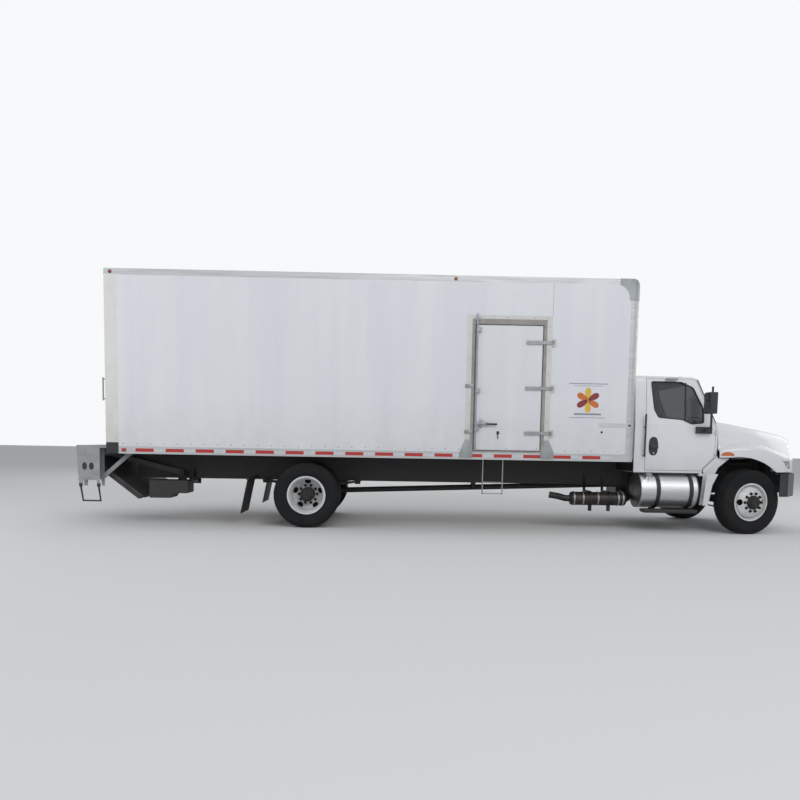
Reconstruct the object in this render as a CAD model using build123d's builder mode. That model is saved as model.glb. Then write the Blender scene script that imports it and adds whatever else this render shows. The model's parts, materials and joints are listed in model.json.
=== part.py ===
from math import atan2, cos, degrees, radians, sin, sqrt
import os

from build123d import *

# Lengths in millimetres, +X forward, +Y left, +Z up, the ground at zero.

# Sizes that set the truck's length, from front to rear
front_overhang = 1071
axle_to_cab_rear = 1749
cab_gap = 90
box_length = 8110
lift_overhang = 510
wheelbase = 6909

# Box body
box_width = 2590
box_top = 3880
box_bottom = 1110
wall_thickness = 45
roof_thickness = 45
floor_thickness = 35
floor_top = 1257
rail_height = 115
top_rail_height = 95
corner_radius = 110
top_radius = 135
rear_post_width = 190
rear_post_depth = 90
rear_header_height = 240

# Side door
door_rear_gap = 5610
door_width = 1027
door_height = 1900
door_frame_width = 125
door_gap = 10
strap_heights = (1525, 2210, 2900)

# Wheels and tyres
tyre_radius = 508
tyre_width = 279
rim_flange_radius = 298
bead_radius = 286
rim_width = 210
front_wheel_y = 1090
rear_wheel_y = 930
dual_spacing = 340
kingpin_y = 880
parked_steer = 12
steering_arm = 220
running_gap = 0.3

# Chassis
frame_half_width = 430
frame_bottom = 700
frame_height = 267
frame_flange = 80
frame_web = 9

# Cab
cab_half_width = 1020
cab_bottom = 944
cab_roof = 2480
cab_skin = 40
panel_gap = 7
cab_door_rear = 180

# Hood
hood_skin = 22

# Fuel tank and exhaust canister
tank_radius = 280
tank_length = 920
tank_y = 870
canister_radius = 108
canister_length = 900

# Lift gate
arm_pivot_height = 800
lift_pivot_set = 905
arm_length = 1341
platform_length = 1100
platform_half_width = 930
platform_thickness = 55
flap_thickness = 45
stow_angle = 36

# Stations along the truck, derived from the sizes above
overall_length = front_overhang + axle_to_cab_rear + cab_gap + box_length + lift_overhang
front_end = overall_length / 2
front_axle = front_end - front_overhang
rear_axle = front_axle - wheelbase
cab_rear = front_axle - axle_to_cab_rear
box_front = cab_rear - cab_gap
box_rear = box_front - box_length
rear_end = box_rear - lift_overhang
box_half = box_width / 2
wall_inner = box_half - wall_thickness
frame_top = frame_bottom + frame_height
rail_top = box_bottom + rail_height
roof_bottom = box_top - roof_thickness
side_top = box_top - top_rail_height
hood_rear = cab_rear + 1330
cowl = cab_rear + 1320
plate_top = floor_top - 30
pivot_x = box_rear + lift_pivot_set
pivot_z = arm_pivot_height
carriage_z = plate_top - platform_thickness - 42
arm_angle = degrees(atan2(carriage_z - pivot_z, sqrt(arm_length ** 2 - (carriage_z - pivot_z) ** 2)))
carriage_x = pivot_x - arm_length * cos(radians(arm_angle))
arm_y = 520
arm_half = 30
pivot_radius = 25
carriage_pin = 15


def block(x0, x1, y0, y1, z0, z1, mode=Mode.ADD):
    """Add a box between pairs of coordinates."""
    with Locations(((x0 + x1) / 2, (y0 + y1) / 2, (z0 + z1) / 2)):
        Box(abs(x1 - x0), abs(y1 - y0), abs(z1 - z0), mode=mode)


def rod(start, end, radius, mode=Mode.ADD):
    """Add a round bar from one point to another."""
    reach = Vector(*end) - Vector(*start)
    with BuildSketch(Plane(origin=start, z_dir=reach)) as disc:
        Circle(radius)
    extrude(disc.sketch, amount=reach.length, mode=mode)


def side_plate(points, y0, y1, radius=0, mode=Mode.ADD):
    """Extrude an outline seen from the side between two widths."""
    with BuildSketch(Plane.XZ.offset(-y1)) as outline:
        Polygon(*points, align=None)
        if radius:
            fillet(outline.vertices(), radius)
    extrude(outline.sketch, amount=y1 - y0, mode=mode)


def plan_plate(points, z0, z1, radius=0, mode=Mode.ADD):
    """Extrude an outline seen from above between two heights."""
    with BuildSketch(Plane.XY.offset(z0)) as outline:
        Polygon(*points, align=None)
        if radius:
            fillet(outline.vertices(), radius)
    extrude(outline.sketch, amount=z1 - z0, mode=mode)


def turned(plane, *outlines):
    """Revolve outlines of (radius, offset) about the plane's own axis."""
    with BuildSketch(Plane(origin=plane.origin, x_dir=plane.x_dir, z_dir=-plane.y_dir)) as section:
        for points in outlines:
            Polygon(*points, align=None)
    revolve(section.sketch, axis=Axis(plane.origin, plane.z_dir))


def shifted(outline, amount):
    """The same outline, moved along the axle."""
    return tuple((radius, along + amount) for radius, along in outline)


def wheel_plane(x, y, side, steer=0):
    """Plane through a wheel's middle whose axis points outward."""
    angle = radians(steer)
    outward = (-side * sin(angle), side * cos(angle), 0)
    return Plane(origin=(x, y, tyre_radius), x_dir=(0, 0, -1), z_dir=outward)


def steered(side, along, outward):
    """Point on a parked front knuckle, measured from its kingpin."""
    angle = radians(parked_steer)
    dx = along * cos(angle) - side * outward * sin(angle)
    dy = along * sin(angle) + side * outward * cos(angle)
    return front_axle + dx, side * kingpin_y + dy


# Leaf springs on both axles
spring_y = 475
spring_width = 76
front_pad = tyre_radius + 15
rear_pad = tyre_radius + 92
spring_rows = ((front_axle, 700, front_pad, 645, 42), (rear_axle, 760, rear_pad, 690, 70))
with BuildPart() as leaf_springs:
    for side in (-1, 1):
        for x, reach, seat, eye, thick in spring_rows:
            near = side * spring_y - spring_width / 2
            far = side * spring_y + spring_width / 2
            with BuildSketch(Plane.XZ.offset(-far)) as leaf:
                with BuildLine():
                    top = ThreePointArc((x - reach, eye + 12), (x, seat + thick), (x + reach, eye + 12))
                    low = ThreePointArc((x - reach, eye - 12), (x, seat), (x + reach, eye - 12))
                    Line(top @ 0, low @ 0)
                    Line(top @ 1, low @ 1)
                make_face()
            extrude(leaf.sketch, amount=spring_width)
            for end in (-1, 1):
                rod((x + end * reach, near, eye), (x + end * reach, far, eye), 26)
leaf_springs.part.label = "leaf_springs"

# Chassis frame with its cross members, spring hangers and lift arm brackets
cross_members = (-9200, -8300, -7400, -6300, -5200, -4200, -3150, -2150, -1450, 740)
frame_rear = rear_end + 675
frame_front = front_axle + 860
with BuildPart() as chassis_frame:
    for side in (-1, 1):
        outer = side * frame_half_width
        inner = outer - side * frame_web
        lip = outer - side * frame_flange
        block(frame_rear, frame_front, outer, inner, frame_bottom, frame_top)
        block(frame_rear, frame_front, outer, lip, frame_bottom, frame_bottom + frame_web)
        block(frame_rear, frame_front, outer, lip, frame_top - frame_web, frame_top)
    for station in cross_members:
        x = front_axle + station
        span = frame_half_width - frame_web
        if frame_rear < x < frame_front:
            block(x - 30, x + 30, -span, span, frame_bottom + 60, frame_top - 30)
    for side in (-1, 1):
        for x, reach, seat, eye, thick in spring_rows:
            for end in (-1, 1):
                web = side * frame_half_width
                outside = side * (spring_y - spring_width / 2 - running_gap)
                foot = x + end * reach
                shape = ((foot - 45, eye - 45), (foot + 45, eye - 45), (foot + 90, frame_top - 40),
                         (foot - 90, frame_top - 40))
                side_plate(shape, min(web, outside), max(web, outside))
    for side in (-1, 1):
        web, outer = sorted((side * frame_half_width, side * (frame_half_width + 16)))
        shape = ((pivot_x - 170, frame_top - 20), (pivot_x - 70, 720), (pivot_x - 70, 560),
                 (pivot_x + 70, 560), (pivot_x + 70, 720), (pivot_x + 170, frame_top - 20))
        side_plate(shape, web, outer)
        rod((pivot_x, side * frame_half_width, pivot_z), (pivot_x, side * (arm_y + arm_half + 14), pivot_z),
            pivot_radius)
        rod((pivot_x, side * (arm_y + arm_half + 1), pivot_z),
            (pivot_x, side * (arm_y + arm_half + 14), pivot_z), pivot_radius + 14)
    rod((pivot_x, -frame_half_width, 610), (pivot_x, frame_half_width, 610), 40)
chassis_frame.part.label = "chassis_frame"

# Front axle beam with its kingpins
beam_y = kingpin_y - 60
pin_radius = 22
boss_half = 60
lug_half = 108
with BuildPart() as front_axle_beam:
    block(front_axle - 45, front_axle + 45, -beam_y, beam_y, front_pad - 105, front_pad - 85)
    block(front_axle - 45, front_axle + 45, -beam_y, beam_y, front_pad - 20, front_pad)
    block(front_axle - 12, front_axle + 12, -beam_y, beam_y, front_pad - 85, front_pad - 20)
    for side in (-1, 1):
        y = side * kingpin_y
        rod((front_axle, y, tyre_radius - boss_half), (front_axle, y, tyre_radius + boss_half), 50)
        block(front_axle - 45, front_axle + 45, side * beam_y, side * (beam_y - 60),
              front_pad - 105, front_pad)
        rod((front_axle, y, tyre_radius - lug_half), (front_axle, y, tyre_radius + lug_half), pin_radius)
        block(front_axle - 40, front_axle + 40, side * (beam_y + 30), side * (beam_y - 10),
              tyre_radius - boss_half + 2, front_pad)
front_axle_beam.part.label = "front_axle_beam"


def knuckle_part(side):
    """Steering knuckle with its spindle, brake plate and steering arm."""
    angle = parked_steer
    plane = wheel_plane(*steered(side, 0, 0), side, parked_steer)
    with BuildPart() as knuckle:
        for low, high in ((-lug_half, -boss_half - 1), (boss_half + 1, lug_half)):
            with BuildSketch(Plane(origin=(front_axle, side * kingpin_y, tyre_radius + low))) as lug:
                Circle(52)
                with Locations(Location((0, 0, 0), angle)):
                    with Locations((0, side * 62)):
                        Rectangle(90, 84)
                Circle(pin_radius + running_gap, mode=Mode.SUBTRACT)
            extrude(lug.sketch, amount=high - low)
        turned(plane, ((0, 92), (lug_half, 92), (lug_half, 96), (190, 96), (190, 104),
                       (lug_half, 104), (lug_half, 112), (spindle_radius, 112),
                       (spindle_radius, 330), (0, 330)))
        heel = steered(side, -40, 70)
        tip = steered(side, -steering_arm, 0)
        arm_z = tyre_radius - 88
        rod((*heel, arm_z), (*tip, arm_z), 17)
        rod((*tip, arm_z - 50), (*tip, arm_z + 22), tie_pin_radius)
        rod((*tip, arm_z - 17), (*tip, arm_z + 22), 24)
    return knuckle.part


spindle_radius = 36
tie_pin_radius = 12
knuckle_right = knuckle_part(-1)
knuckle_right.label = "knuckle_right"
knuckle_left = knuckle_part(1)
knuckle_left.label = "knuckle_left"

# Tie rod under the steering arms, its two eyes on the arms' pins
tie_z = tyre_radius - 88 - 17 - 18
tie_x, tie_right = steered(-1, -steering_arm, 0)
tie_left = steered(1, -steering_arm, 0)[1]
with BuildPart() as tie_rod:
    for y in (tie_right, tie_left):
        rod((tie_x, y, tie_z - 16), (tie_x, y, tie_z + 16), 28)
    rod((tie_x, tie_right + 20, tie_z), (tie_x, tie_left - 20, tie_z), 12)
    for y in (tie_right, tie_left):
        rod((tie_x, y, tie_z - 20), (tie_x, y, tie_z + 20), tie_pin_radius + running_gap, Mode.SUBTRACT)
tie_rod.part.label = "tie_rod"

# Tyre and wheel outlines, as (radius, offset from the wheel's middle)
half_rim = rim_width / 2
half_tyre = tyre_width / 2
tyre_outline = (
    (bead_radius, half_rim), (rim_flange_radius + 12, half_rim), (365, half_tyre - 8),
    (415, half_tyre), (470, half_tyre - 9), (tyre_radius - 9, half_tyre - 24),
    (tyre_radius, half_tyre - 48), (tyre_radius, 48 - half_tyre),
    (tyre_radius - 9, 24 - half_tyre), (470, 9 - half_tyre), (415, -half_tyre),
    (365, 8 - half_tyre), (rim_flange_radius + 12, -half_rim), (bead_radius, -half_rim),
    (bead_radius, 30 - half_rim), (400, 20 - half_rim), (478, 40 - half_rim),
    (478, half_rim - 40), (400, half_rim - 20), (bead_radius, half_rim - 30),
)
rim_outline = (
    (rim_flange_radius, half_rim + 12), (rim_flange_radius, half_rim), (bead_radius, half_rim),
    (bead_radius, half_rim - 32), (262, half_rim - 62), (262, 62 - half_rim),
    (bead_radius, 32 - half_rim), (bead_radius, -half_rim), (rim_flange_radius, -half_rim),
    (rim_flange_radius, -half_rim - 12), (bead_radius - 10, -half_rim - 12),
    (bead_radius - 10, 28 - half_rim), (252, 58 - half_rim), (252, half_rim - 58),
    (bead_radius - 10, half_rim - 28), (bead_radius - 10, half_rim + 12),
)
disc_outset = 158
disc_thickness = 11
hub_bore = spindle_radius + running_gap
hand_holes = 2
rear_hand_holes = 5
hand_hole_circle = 195


def tyre_part(centres):
    """Tyres on the given wheel planes, as one piece for each body."""
    with BuildPart() as tyre:
        for plane in centres:
            turned(plane, tyre_outline)
    return tyre.part


def hand_hole_cut(plane, count, start, radius, low, high):
    """Cut the round hand holes through a wheel disc."""
    with BuildSketch(plane.offset(low)) as holes:
        with PolarLocations(hand_hole_circle, count, start_angle=start):
            Circle(radius)
    extrude(holes.sketch, amount=high - low, mode=Mode.SUBTRACT)


def front_wheel_part(plane):
    """Steer wheel: rim, outset disc, hub and brake drum."""
    disc = ((hub_bore, disc_outset), (160, disc_outset), (236, disc_outset - 58), (253, 40),
            (253, 22), (245, 22), (228, disc_outset - 66), (156, disc_outset - disc_thickness),
            (hub_bore, disc_outset - disc_thickness))
    hub = ((hub_bore, 20), (75, 20), (75, 60), (95, 100), (150, 130),
           (150, disc_outset - disc_thickness), (hub_bore, disc_outset - disc_thickness))
    cap = ((0, disc_outset), (108, disc_outset), (108, disc_outset + 28), (92, disc_outset + 40),
           (0, disc_outset + 40))
    drum = ((206, -92), (216, -92), (216, 58), (70, 58), (70, 46), (206, 46))
    with BuildPart() as wheel:
        turned(plane, rim_outline, disc, hub, drum, cap)
        hand_hole_cut(plane, hand_holes, 90, 27, 62, 220)
    return wheel.part


front_tyre_right = tyre_part((wheel_plane(*steered(-1, 0, front_wheel_y - kingpin_y), -1, parked_steer),))
front_tyre_right.label = "front_tyre_right"
front_tyre_left = tyre_part((wheel_plane(*steered(1, 0, front_wheel_y - kingpin_y), 1, parked_steer),))
front_tyre_left.label = "front_tyre_left"
front_wheel_right = front_wheel_part(
    wheel_plane(*steered(-1, 0, front_wheel_y - kingpin_y), -1, parked_steer))
front_wheel_right.label = "front_wheel_right"
front_wheel_left = front_wheel_part(
    wheel_plane(*steered(1, 0, front_wheel_y - kingpin_y), 1, parked_steer))
front_wheel_left.label = "front_wheel_left"

# Rear axle housing with its differential
tube_radius = 68
rear_spindle = 48
with BuildPart() as rear_axle_housing:
    turned(wheel_plane(rear_axle, 0, 1), (
        (0, -1100), (rear_spindle, -1100), (rear_spindle, -612), (tube_radius, -612),
        (tube_radius, -610), (196, -610), (196, -604), (tube_radius, -604), (tube_radius, -190),
        (120, -190), (195, -90), (210, 0), (195, 90), (120, 190), (tube_radius, 190),
        (tube_radius, 604), (196, 604), (196, 610), (tube_radius, 610), (tube_radius, 612),
        (rear_spindle, 612), (rear_spindle, 1100), (0, 1100)))
    rod((rear_axle, 0, tyre_radius), (rear_axle + 330, 0, tyre_radius), 85)
    for side in (-1, 1):
        y = side * spring_y
        block(rear_axle - 60, rear_axle + 60, y - 38, y + 38, tyre_radius + 30, rear_pad)
rear_axle_housing.part.label = "rear_axle_housing"


def rear_wheel_part(side):
    """Twin wheels bolted back to back, with their hub and drum."""
    middle = wheel_plane(rear_axle, side * rear_wheel_y, side)
    bore = rear_spindle + running_gap
    bell = dual_spacing / 2
    disc_out = ((bore, 0), (160, 0), (236, 58), (253, bell - 30), (253, bell - 12),
                (245, bell - 12), (228, 66), (156, disc_thickness), (bore, disc_thickness))
    disc_in = tuple((radius, -along) for radius, along in disc_out)
    hub = ((bore, -250), (92, -250), (92, -60), (150, -40), (150, -disc_thickness),
           (bore, -disc_thickness))
    cap = ((bore, disc_thickness), (112, disc_thickness), (112, 150), (95, 172), (bore, 172))
    end = ((0, 172), (bore + 4, 172), (bore + 4, 184), (0, 184))
    drum = ((206, -310), (217, -310), (217, -90), (90, -90), (90, -104), (206, -104))
    with BuildPart() as wheel:
        turned(middle, disc_out, disc_in, shifted(rim_outline, bell), shifted(rim_outline, -bell),
               hub, drum, cap, end)
        hand_hole_cut(middle, rear_hand_holes, 36, 27, -75, 75)
    return wheel.part


rear_wheels_right = rear_wheel_part(-1)
rear_wheels_right.label = "rear_wheels_right"
rear_wheels_left = rear_wheel_part(1)
rear_wheels_left.label = "rear_wheels_left"
dual_offsets = (rear_wheel_y - dual_spacing / 2, rear_wheel_y + dual_spacing / 2)
rear_tyres_right = tyre_part([wheel_plane(rear_axle, -y, -1) for y in dual_offsets])
rear_tyres_right.label = "rear_tyres_right"
rear_tyres_left = tyre_part([wheel_plane(rear_axle, y, 1) for y in dual_offsets])
rear_tyres_left.label = "rear_tyres_left"

# Engine as a plain block with its gearbox and radiator, then the driveshaft
shaft_front = hood_rear - 910
with BuildPart() as engine:
    block(hood_rear + 60, hood_rear + 1060, -330, 330, 620, 1340)
    chamfer(engine.edges().filter_by(Axis.X).group_by(Axis.Z)[-1], 110)
    rod((hood_rear + 60, 0, 760), (shaft_front + 14, 0, 700), 190)
    rod((shaft_front + 30, 0, 700), (shaft_front, 0, 700), 60)
    block(front_axle + 700, front_axle + 780, -frame_half_width + 20, frame_half_width - 20,
          frame_top, 1345)
engine.part.label = "engine"

shaft_mid = front_axle - 4170
with BuildPart() as driveshaft:
    rod((shaft_front - 40, 0, 700), (shaft_mid, 0, 600), 45)
    rod((shaft_mid, 0, 600), (rear_axle + 370, 0, tyre_radius), 45)
    rod((shaft_front - 70, 0, 700), (shaft_front, 0, 700), 54)
    rod((rear_axle + 330, 0, tyre_radius), (rear_axle + 400, 0, tyre_radius), 54)
    block(shaft_mid - 30, shaft_mid + 30, -110, 110, 560, frame_bottom + 60)
driveshaft.part.label = "driveshaft"

# Fuel tank with its cap, straps and step
tank_front = cab_rear + 1010
tank_rear = tank_front - tank_length
tank_z = 655
with BuildPart() as fuel_tank:
    rod((tank_rear, -tank_y, tank_z), (tank_front, -tank_y, tank_z), tank_radius)
    fillet(fuel_tank.edges().filter_by(GeomType.CIRCLE), 24)
    cap_y = -tank_y - 190
    rod((tank_rear + 134, cap_y, tank_z + 150), (tank_rear + 134, cap_y - 30, tank_z + 250), 46)
fuel_tank.part.label = "fuel_tank"

with BuildPart() as tank_mounts:
    for x in (tank_rear + 282, tank_front - 117):
        with BuildSketch(Plane.YZ.offset(x - 32)) as band:
            with Locations((-tank_y, tank_z)):
                Circle(tank_radius + 7)
            Polygon((-frame_half_width, frame_bottom + 10), (-frame_half_width, frame_top - 45),
                    (-tank_y + 120, tank_z + 254), (-tank_y + 60, tank_z - 240), align=None)
            with Locations((-tank_y, tank_z)):
                Circle(tank_radius, mode=Mode.SUBTRACT)
        extrude(band.sketch, amount=64)
        block(x - 32, x + 32, -tank_y - 300, -tank_y + 60, tank_z - tank_radius - 45,
              tank_z - tank_radius - 6)
    block(tank_rear + 60, tank_front - 40, -tank_y - 315, -tank_y - 120,
          tank_z - tank_radius - 60, tank_z - tank_radius - 45)
tank_mounts.part.label = "tank_mounts"

# Battery box and steps under the left door
with BuildPart() as battery_box:
    block(tank_rear + 120, tank_front - 60, frame_half_width, cab_half_width - 40, 480, 880)
    chamfer(battery_box.edges().filter_by(Axis.X).group_by(Axis.Y)[-1], 40)
    block(tank_rear + 120, tank_front - 60, cab_half_width - 140, cab_half_width + 60, 440, 480)
battery_box.part.label = "battery_box"

# Exhaust canister with its bands and brackets
canister_front = cab_rear - 40
canister_y = 800
canister_z = 495
with BuildPart() as exhaust_canister:
    rod((canister_front - canister_length, -canister_y, canister_z),
        (canister_front, -canister_y, canister_z), canister_radius)
    fillet(exhaust_canister.edges().filter_by(GeomType.CIRCLE), 30)
    for x in (canister_front - 270, canister_front - 570):
        rod((x - 20, -canister_y, canister_z), (x + 20, -canister_y, canister_z), canister_radius + 8)
        block(x - 25, x + 25, -canister_y - 20, -canister_y + 20, canister_z - 200, canister_z - 90)
        block(x - 20, x + 20, -canister_y, -frame_half_width, canister_z + 60, canister_z + 120)
        block(x - 20, x + 20, -frame_half_width - 12, -frame_half_width, canister_z + 60, frame_top - 60)
exhaust_canister.part.label = "exhaust_canister"

# Mud flaps with their hanger bars
flap_x = rear_axle - 900
with BuildPart() as mud_flaps:
    for side in (-1, 1):
        hang = ((flap_x - 6, 740), (flap_x + 6, 740), (flap_x - 104, 210), (flap_x - 116, 210))
        inner = side * 640
        outer = side * 1240
        side_plate(hang, min(inner, outer), max(inner, outer))
        block(flap_x - 20, flap_x + 20, side * frame_half_width, outer, 735, 765)
mud_flaps.part.label = "mud_flaps"

# Front bumper, swept back to the wheels
bumper_top = 965
bumper_low = 600
plate_pitch = 177.8
plate_hole = 3.5
plate_height = 780


def bumper_outline(inset):
    """Plan of the bumper's outer face, moved in by an inset."""
    nose = front_end - inset
    wide = 1200 - inset
    back = front_axle + 511
    return ((back, -wide), (back + 130, -wide), (nose - 150, -wide + 330), (nose - 40, -wide + 700),
            (nose, -250), (nose, 250), (nose - 40, wide - 700), (nose - 150, wide - 330),
            (back + 130, wide), (back, wide))


# Hood hinge on the bumper's brackets, just behind the bumper
hood_pivot_x = front_end - 65
hood_pivot_z = 800
hood_pin = 12
hood_arm_y = 322
hood_arm_half = 13
with BuildPart() as front_bumper:
    with BuildSketch(Plane.XY.offset(bumper_low)) as bar:
        Polygon(*bumper_outline(0), align=None)
        Polygon(*bumper_outline(14), align=None, mode=Mode.SUBTRACT)
    extrude(bar.sketch, amount=bumper_top - bumper_low)
    fillet(front_bumper.edges().filter_by(Axis.Z).group_by(Axis.X)[-1], 60)
    for side in (-1, 1):
        block(frame_front, front_end - 20, side * frame_half_width, side * (frame_half_width - 60),
              frame_bottom + 40, frame_top - 40)
        rod((hood_pivot_x, side * (hood_arm_y - hood_arm_half - 10), hood_pivot_z),
            (hood_pivot_x, side * (frame_half_width - 55), hood_pivot_z), hood_pin)
        y = side * plate_pitch / 2
        rod((front_end - 20, y, plate_height), (front_end + 5, y, plate_height), plate_hole, Mode.SUBTRACT)
front_bumper.part.label = "front_bumper"

# Underframe of the box: two long sills and the cross beams that carry the floor
sill_top = floor_top - floor_thickness - 100
with BuildPart() as box_underframe:
    beam_count = 20
    beam_step = (box_length - 330) / (beam_count - 1)
    with BuildSketch(Plane.XZ) as beams:
        for index in range(beam_count):
            with Locations((box_front - 95 - index * beam_step, sill_top)):
                for low, wide, tall in ((0, 60, 8), (8, 8, 84), (92, 60, 8)):
                    with Locations((0, low + tall / 2)):
                        Rectangle(wide, tall)
    extrude(beams.sketch, amount=wall_inner, both=True)
    for side in (-1, 1):
        block(box_rear + rear_post_depth + 5, box_front, side * frame_half_width,
              side * (frame_half_width - frame_flange), frame_top, sill_top)
box_underframe.part.label = "box_underframe"

with BuildPart() as box_floor:
    block(box_rear + rear_post_depth, box_front - wall_thickness, -wall_inner, wall_inner,
          floor_top - floor_thickness, floor_top)
box_floor.part.label = "box_floor"

post_front = box_front - 150

# Side door opening, its frame and its door, all on the right
door_front = box_rear + door_rear_gap + door_width
door_rear = box_rear + door_rear_gap
frame_outer_front = door_front + door_gap + door_frame_width
frame_outer_rear = door_rear - door_gap - door_frame_width
door_low = floor_top - 2
door_high = door_low + door_height
frame_high = door_high + door_gap + 135
with BuildPart() as wall_right:
    block(box_rear + rear_post_width, post_front, -box_half, -wall_inner, rail_top, side_top)
    block(frame_outer_rear, frame_outer_front, -box_half, -wall_inner, rail_top, frame_high,
          mode=Mode.SUBTRACT)
wall_right.part.label = "wall_right"

with BuildPart() as wall_left:
    block(box_rear + rear_post_width, post_front, wall_inner, box_half, rail_top, side_top)
wall_left.part.label = "wall_left"

# Front wall between the corner posts
with BuildPart() as wall_front:
    block(box_front - wall_thickness, box_front, corner_radius - box_half, box_half - corner_radius,
          sill_top, box_top - top_radius)
wall_front.part.label = "wall_front"


def corner_plan(grow, reach):
    """Outline of a rounded front corner seen from above, on the right."""
    bend = corner_radius + grow
    outer = -box_half - grow
    nose = box_front + grow
    diagonal = bend * (1 - sqrt(0.5))
    with BuildSketch() as corner:
        with BuildLine():
            Line((box_front - reach, outer), (nose - bend, outer))
            ThreePointArc((nose - bend, outer), (nose - diagonal, outer + diagonal), (nose, outer + bend))
            Line((nose, outer + bend), (box_front - wall_thickness, outer + bend))
            Line((box_front - wall_thickness, outer + bend), (box_front - wall_thickness, -wall_inner))
            Line((box_front - wall_thickness, -wall_inner), (box_front - reach, -wall_inner))
            Line((box_front - reach, -wall_inner), (box_front - reach, outer))
        make_face()
    return corner.sketch


def beyond_front_edge(grow):
    """What lies outside the box's rounded front top edge, over its whole width."""
    bend = top_radius + grow
    nose = box_front + grow
    crown = box_top + grow
    with BuildPart() as waste:
        with BuildSketch(Plane.XZ.offset(-box_half - 50)) as section:
            with BuildLine():
                RadiusArc((nose - bend, crown), (nose, crown - bend), bend)
                Line((nose, crown - bend), (nose + 50, crown - bend))
                Line((nose + 50, crown - bend), (nose + 50, crown + 50))
                Line((nose + 50, crown + 50), (nose - bend, crown + 50))
                Line((nose - bend, crown + 50), (nose - bend, crown))
            make_face()
        extrude(amount=2 * box_half + 100)
    return waste.part


# Rails along the foot and top of the box, and its rounded front corner posts
with BuildPart() as box_rails:
    for side in (-1, 1):
        block(box_rear + rear_post_width, post_front, side * wall_inner, side * box_half,
              box_bottom, rail_top)
        block(box_rear + rear_post_width, post_front, side * box_half, side * (box_half + 4),
              box_bottom, box_bottom + 10)
    extrude(Pos(0, 0, box_bottom) * corner_plan(0, 150), amount=box_top - box_bottom)
    extrude(Pos(0, 0, box_bottom) * mirror(corner_plan(0, 150), about=Plane.XZ),
            amount=box_top - box_bottom)
    for side in (-1, 1):
        block(box_rear, box_front - 150, side * wall_inner, side * box_half, side_top, box_top)
    block(box_front - wall_thickness, box_front, corner_radius - box_half, box_half - corner_radius,
          box_top - top_radius, box_top)
    add(beyond_front_edge(0), mode=Mode.SUBTRACT)
box_rails.part.label = "box_rails"

# Cast caps over the upper front corners
cap_reach = 325
cap_drop = 320
cap_wall = 4
with BuildPart() as under_cap:
    extrude(Pos(0, 0, box_top - cap_drop) * corner_plan(0, cap_reach + 5), amount=cap_drop)
    add(beyond_front_edge(0), mode=Mode.SUBTRACT)
with BuildPart() as corner_caps:
    extrude(Pos(0, 0, box_top - cap_drop) * corner_plan(cap_wall, cap_reach),
            amount=cap_drop + cap_wall)
    add(beyond_front_edge(cap_wall), mode=Mode.SUBTRACT)
    add(under_cap.part, mode=Mode.SUBTRACT)
    with BuildSketch(Plane.XZ.offset(box_half + 20)) as sweep_cut:
        with BuildLine():
            Line((box_front - cap_reach - 5, box_top - cap_drop - 5), (box_front - 175, box_top - cap_drop - 5))
            Line((box_front - 175, box_top - cap_drop - 5), (box_front - 175, box_top - cap_drop))
            ThreePointArc((box_front - 175, box_top - cap_drop),
                          (box_front - 215, box_top - 170), (box_front - cap_reach, box_top - 90))
            Line((box_front - cap_reach, box_top - 90), (box_front - cap_reach - 5, box_top - 90))
            Line((box_front - cap_reach - 5, box_top - 90),
                 (box_front - cap_reach - 5, box_top - cap_drop - 5))
        make_face()
    extrude(sweep_cut.sketch, amount=-200, mode=Mode.SUBTRACT)
    mirror(about=Plane.XZ)
corner_caps.part.label = "corner_caps"

with BuildPart() as box_roof:
    block(box_rear, box_front - wall_thickness, -wall_inner, wall_inner, roof_bottom, box_top)
    add(beyond_front_edge(0), mode=Mode.SUBTRACT)
box_roof.part.label = "box_roof"

# Rear frame: posts, header and sill around the roll-up door
rear_post_foot = box_bottom + 170
opening_half = box_half - rear_post_depth
with BuildPart() as rear_frame:
    for side in (-1, 1):
        block(box_rear, box_rear + rear_post_width, side * wall_inner, side * box_half,
              rear_post_foot, side_top)
        block(box_rear, box_rear + 60, side * opening_half, side * wall_inner,
              box_bottom, roof_bottom)
        block(box_rear, box_rear + rear_post_width, side * (wall_inner + 8), side * (box_half - 3),
              box_bottom, rear_post_foot)
    block(box_rear, box_rear + 60, -opening_half, opening_half, side_top - rear_header_height + 95,
          roof_bottom)
    block(box_rear, box_rear + rear_post_depth, -opening_half, opening_half, box_bottom, floor_top)
    block(box_rear + 60, box_rear + rear_post_depth, -wall_inner, wall_inner, box_bottom,
          floor_top - floor_thickness)
rear_frame.part.label = "rear_frame"

curtain_x = box_rear + 62
with BuildPart() as rollup_door:
    for index in range(6):
        height = (side_top - rear_header_height + 125 - floor_top) / 6
        low = floor_top + index * height
        block(curtain_x, curtain_x + 22, -opening_half - 25, opening_half + 25, low, low + height)
        if index:
            block(curtain_x, curtain_x + 4, -opening_half - 25, opening_half + 25, low - 3, low + 3,
                  mode=Mode.SUBTRACT)
    block(curtain_x - 32, curtain_x, -90, 90, floor_top + 160, floor_top + 260)
rollup_door.part.label = "rollup_door"

# Side door frame with fixed hinge lugs and pins
hinge_x = frame_outer_front + 20
hinge_y = -box_half - 28
hinge_pin = 6
with BuildPart() as side_door_frame:
    block(frame_outer_rear, frame_outer_front, -box_half - 6, -wall_inner, rail_top, frame_high)
    block(door_rear - door_gap, door_front + door_gap, -box_half - 6, -wall_inner,
          door_low - door_gap, door_high + door_gap, mode=Mode.SUBTRACT)
    for z in strap_heights:
        rod((hinge_x, hinge_y, z - 52), (hinge_x, hinge_y, z + 52), hinge_pin)
        for low in (z - 52, z + 32):
            rod((hinge_x, hinge_y, low), (hinge_x, hinge_y, low + 20), 13)
            block(hinge_x - 12, hinge_x + 40, -box_half - 20, -box_half, low, low + 20)
        block(frame_outer_front, hinge_x + 40, -box_half - 6, -box_half, z - 52, z + 52)
side_door_frame.part.label = "side_door_frame"

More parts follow.
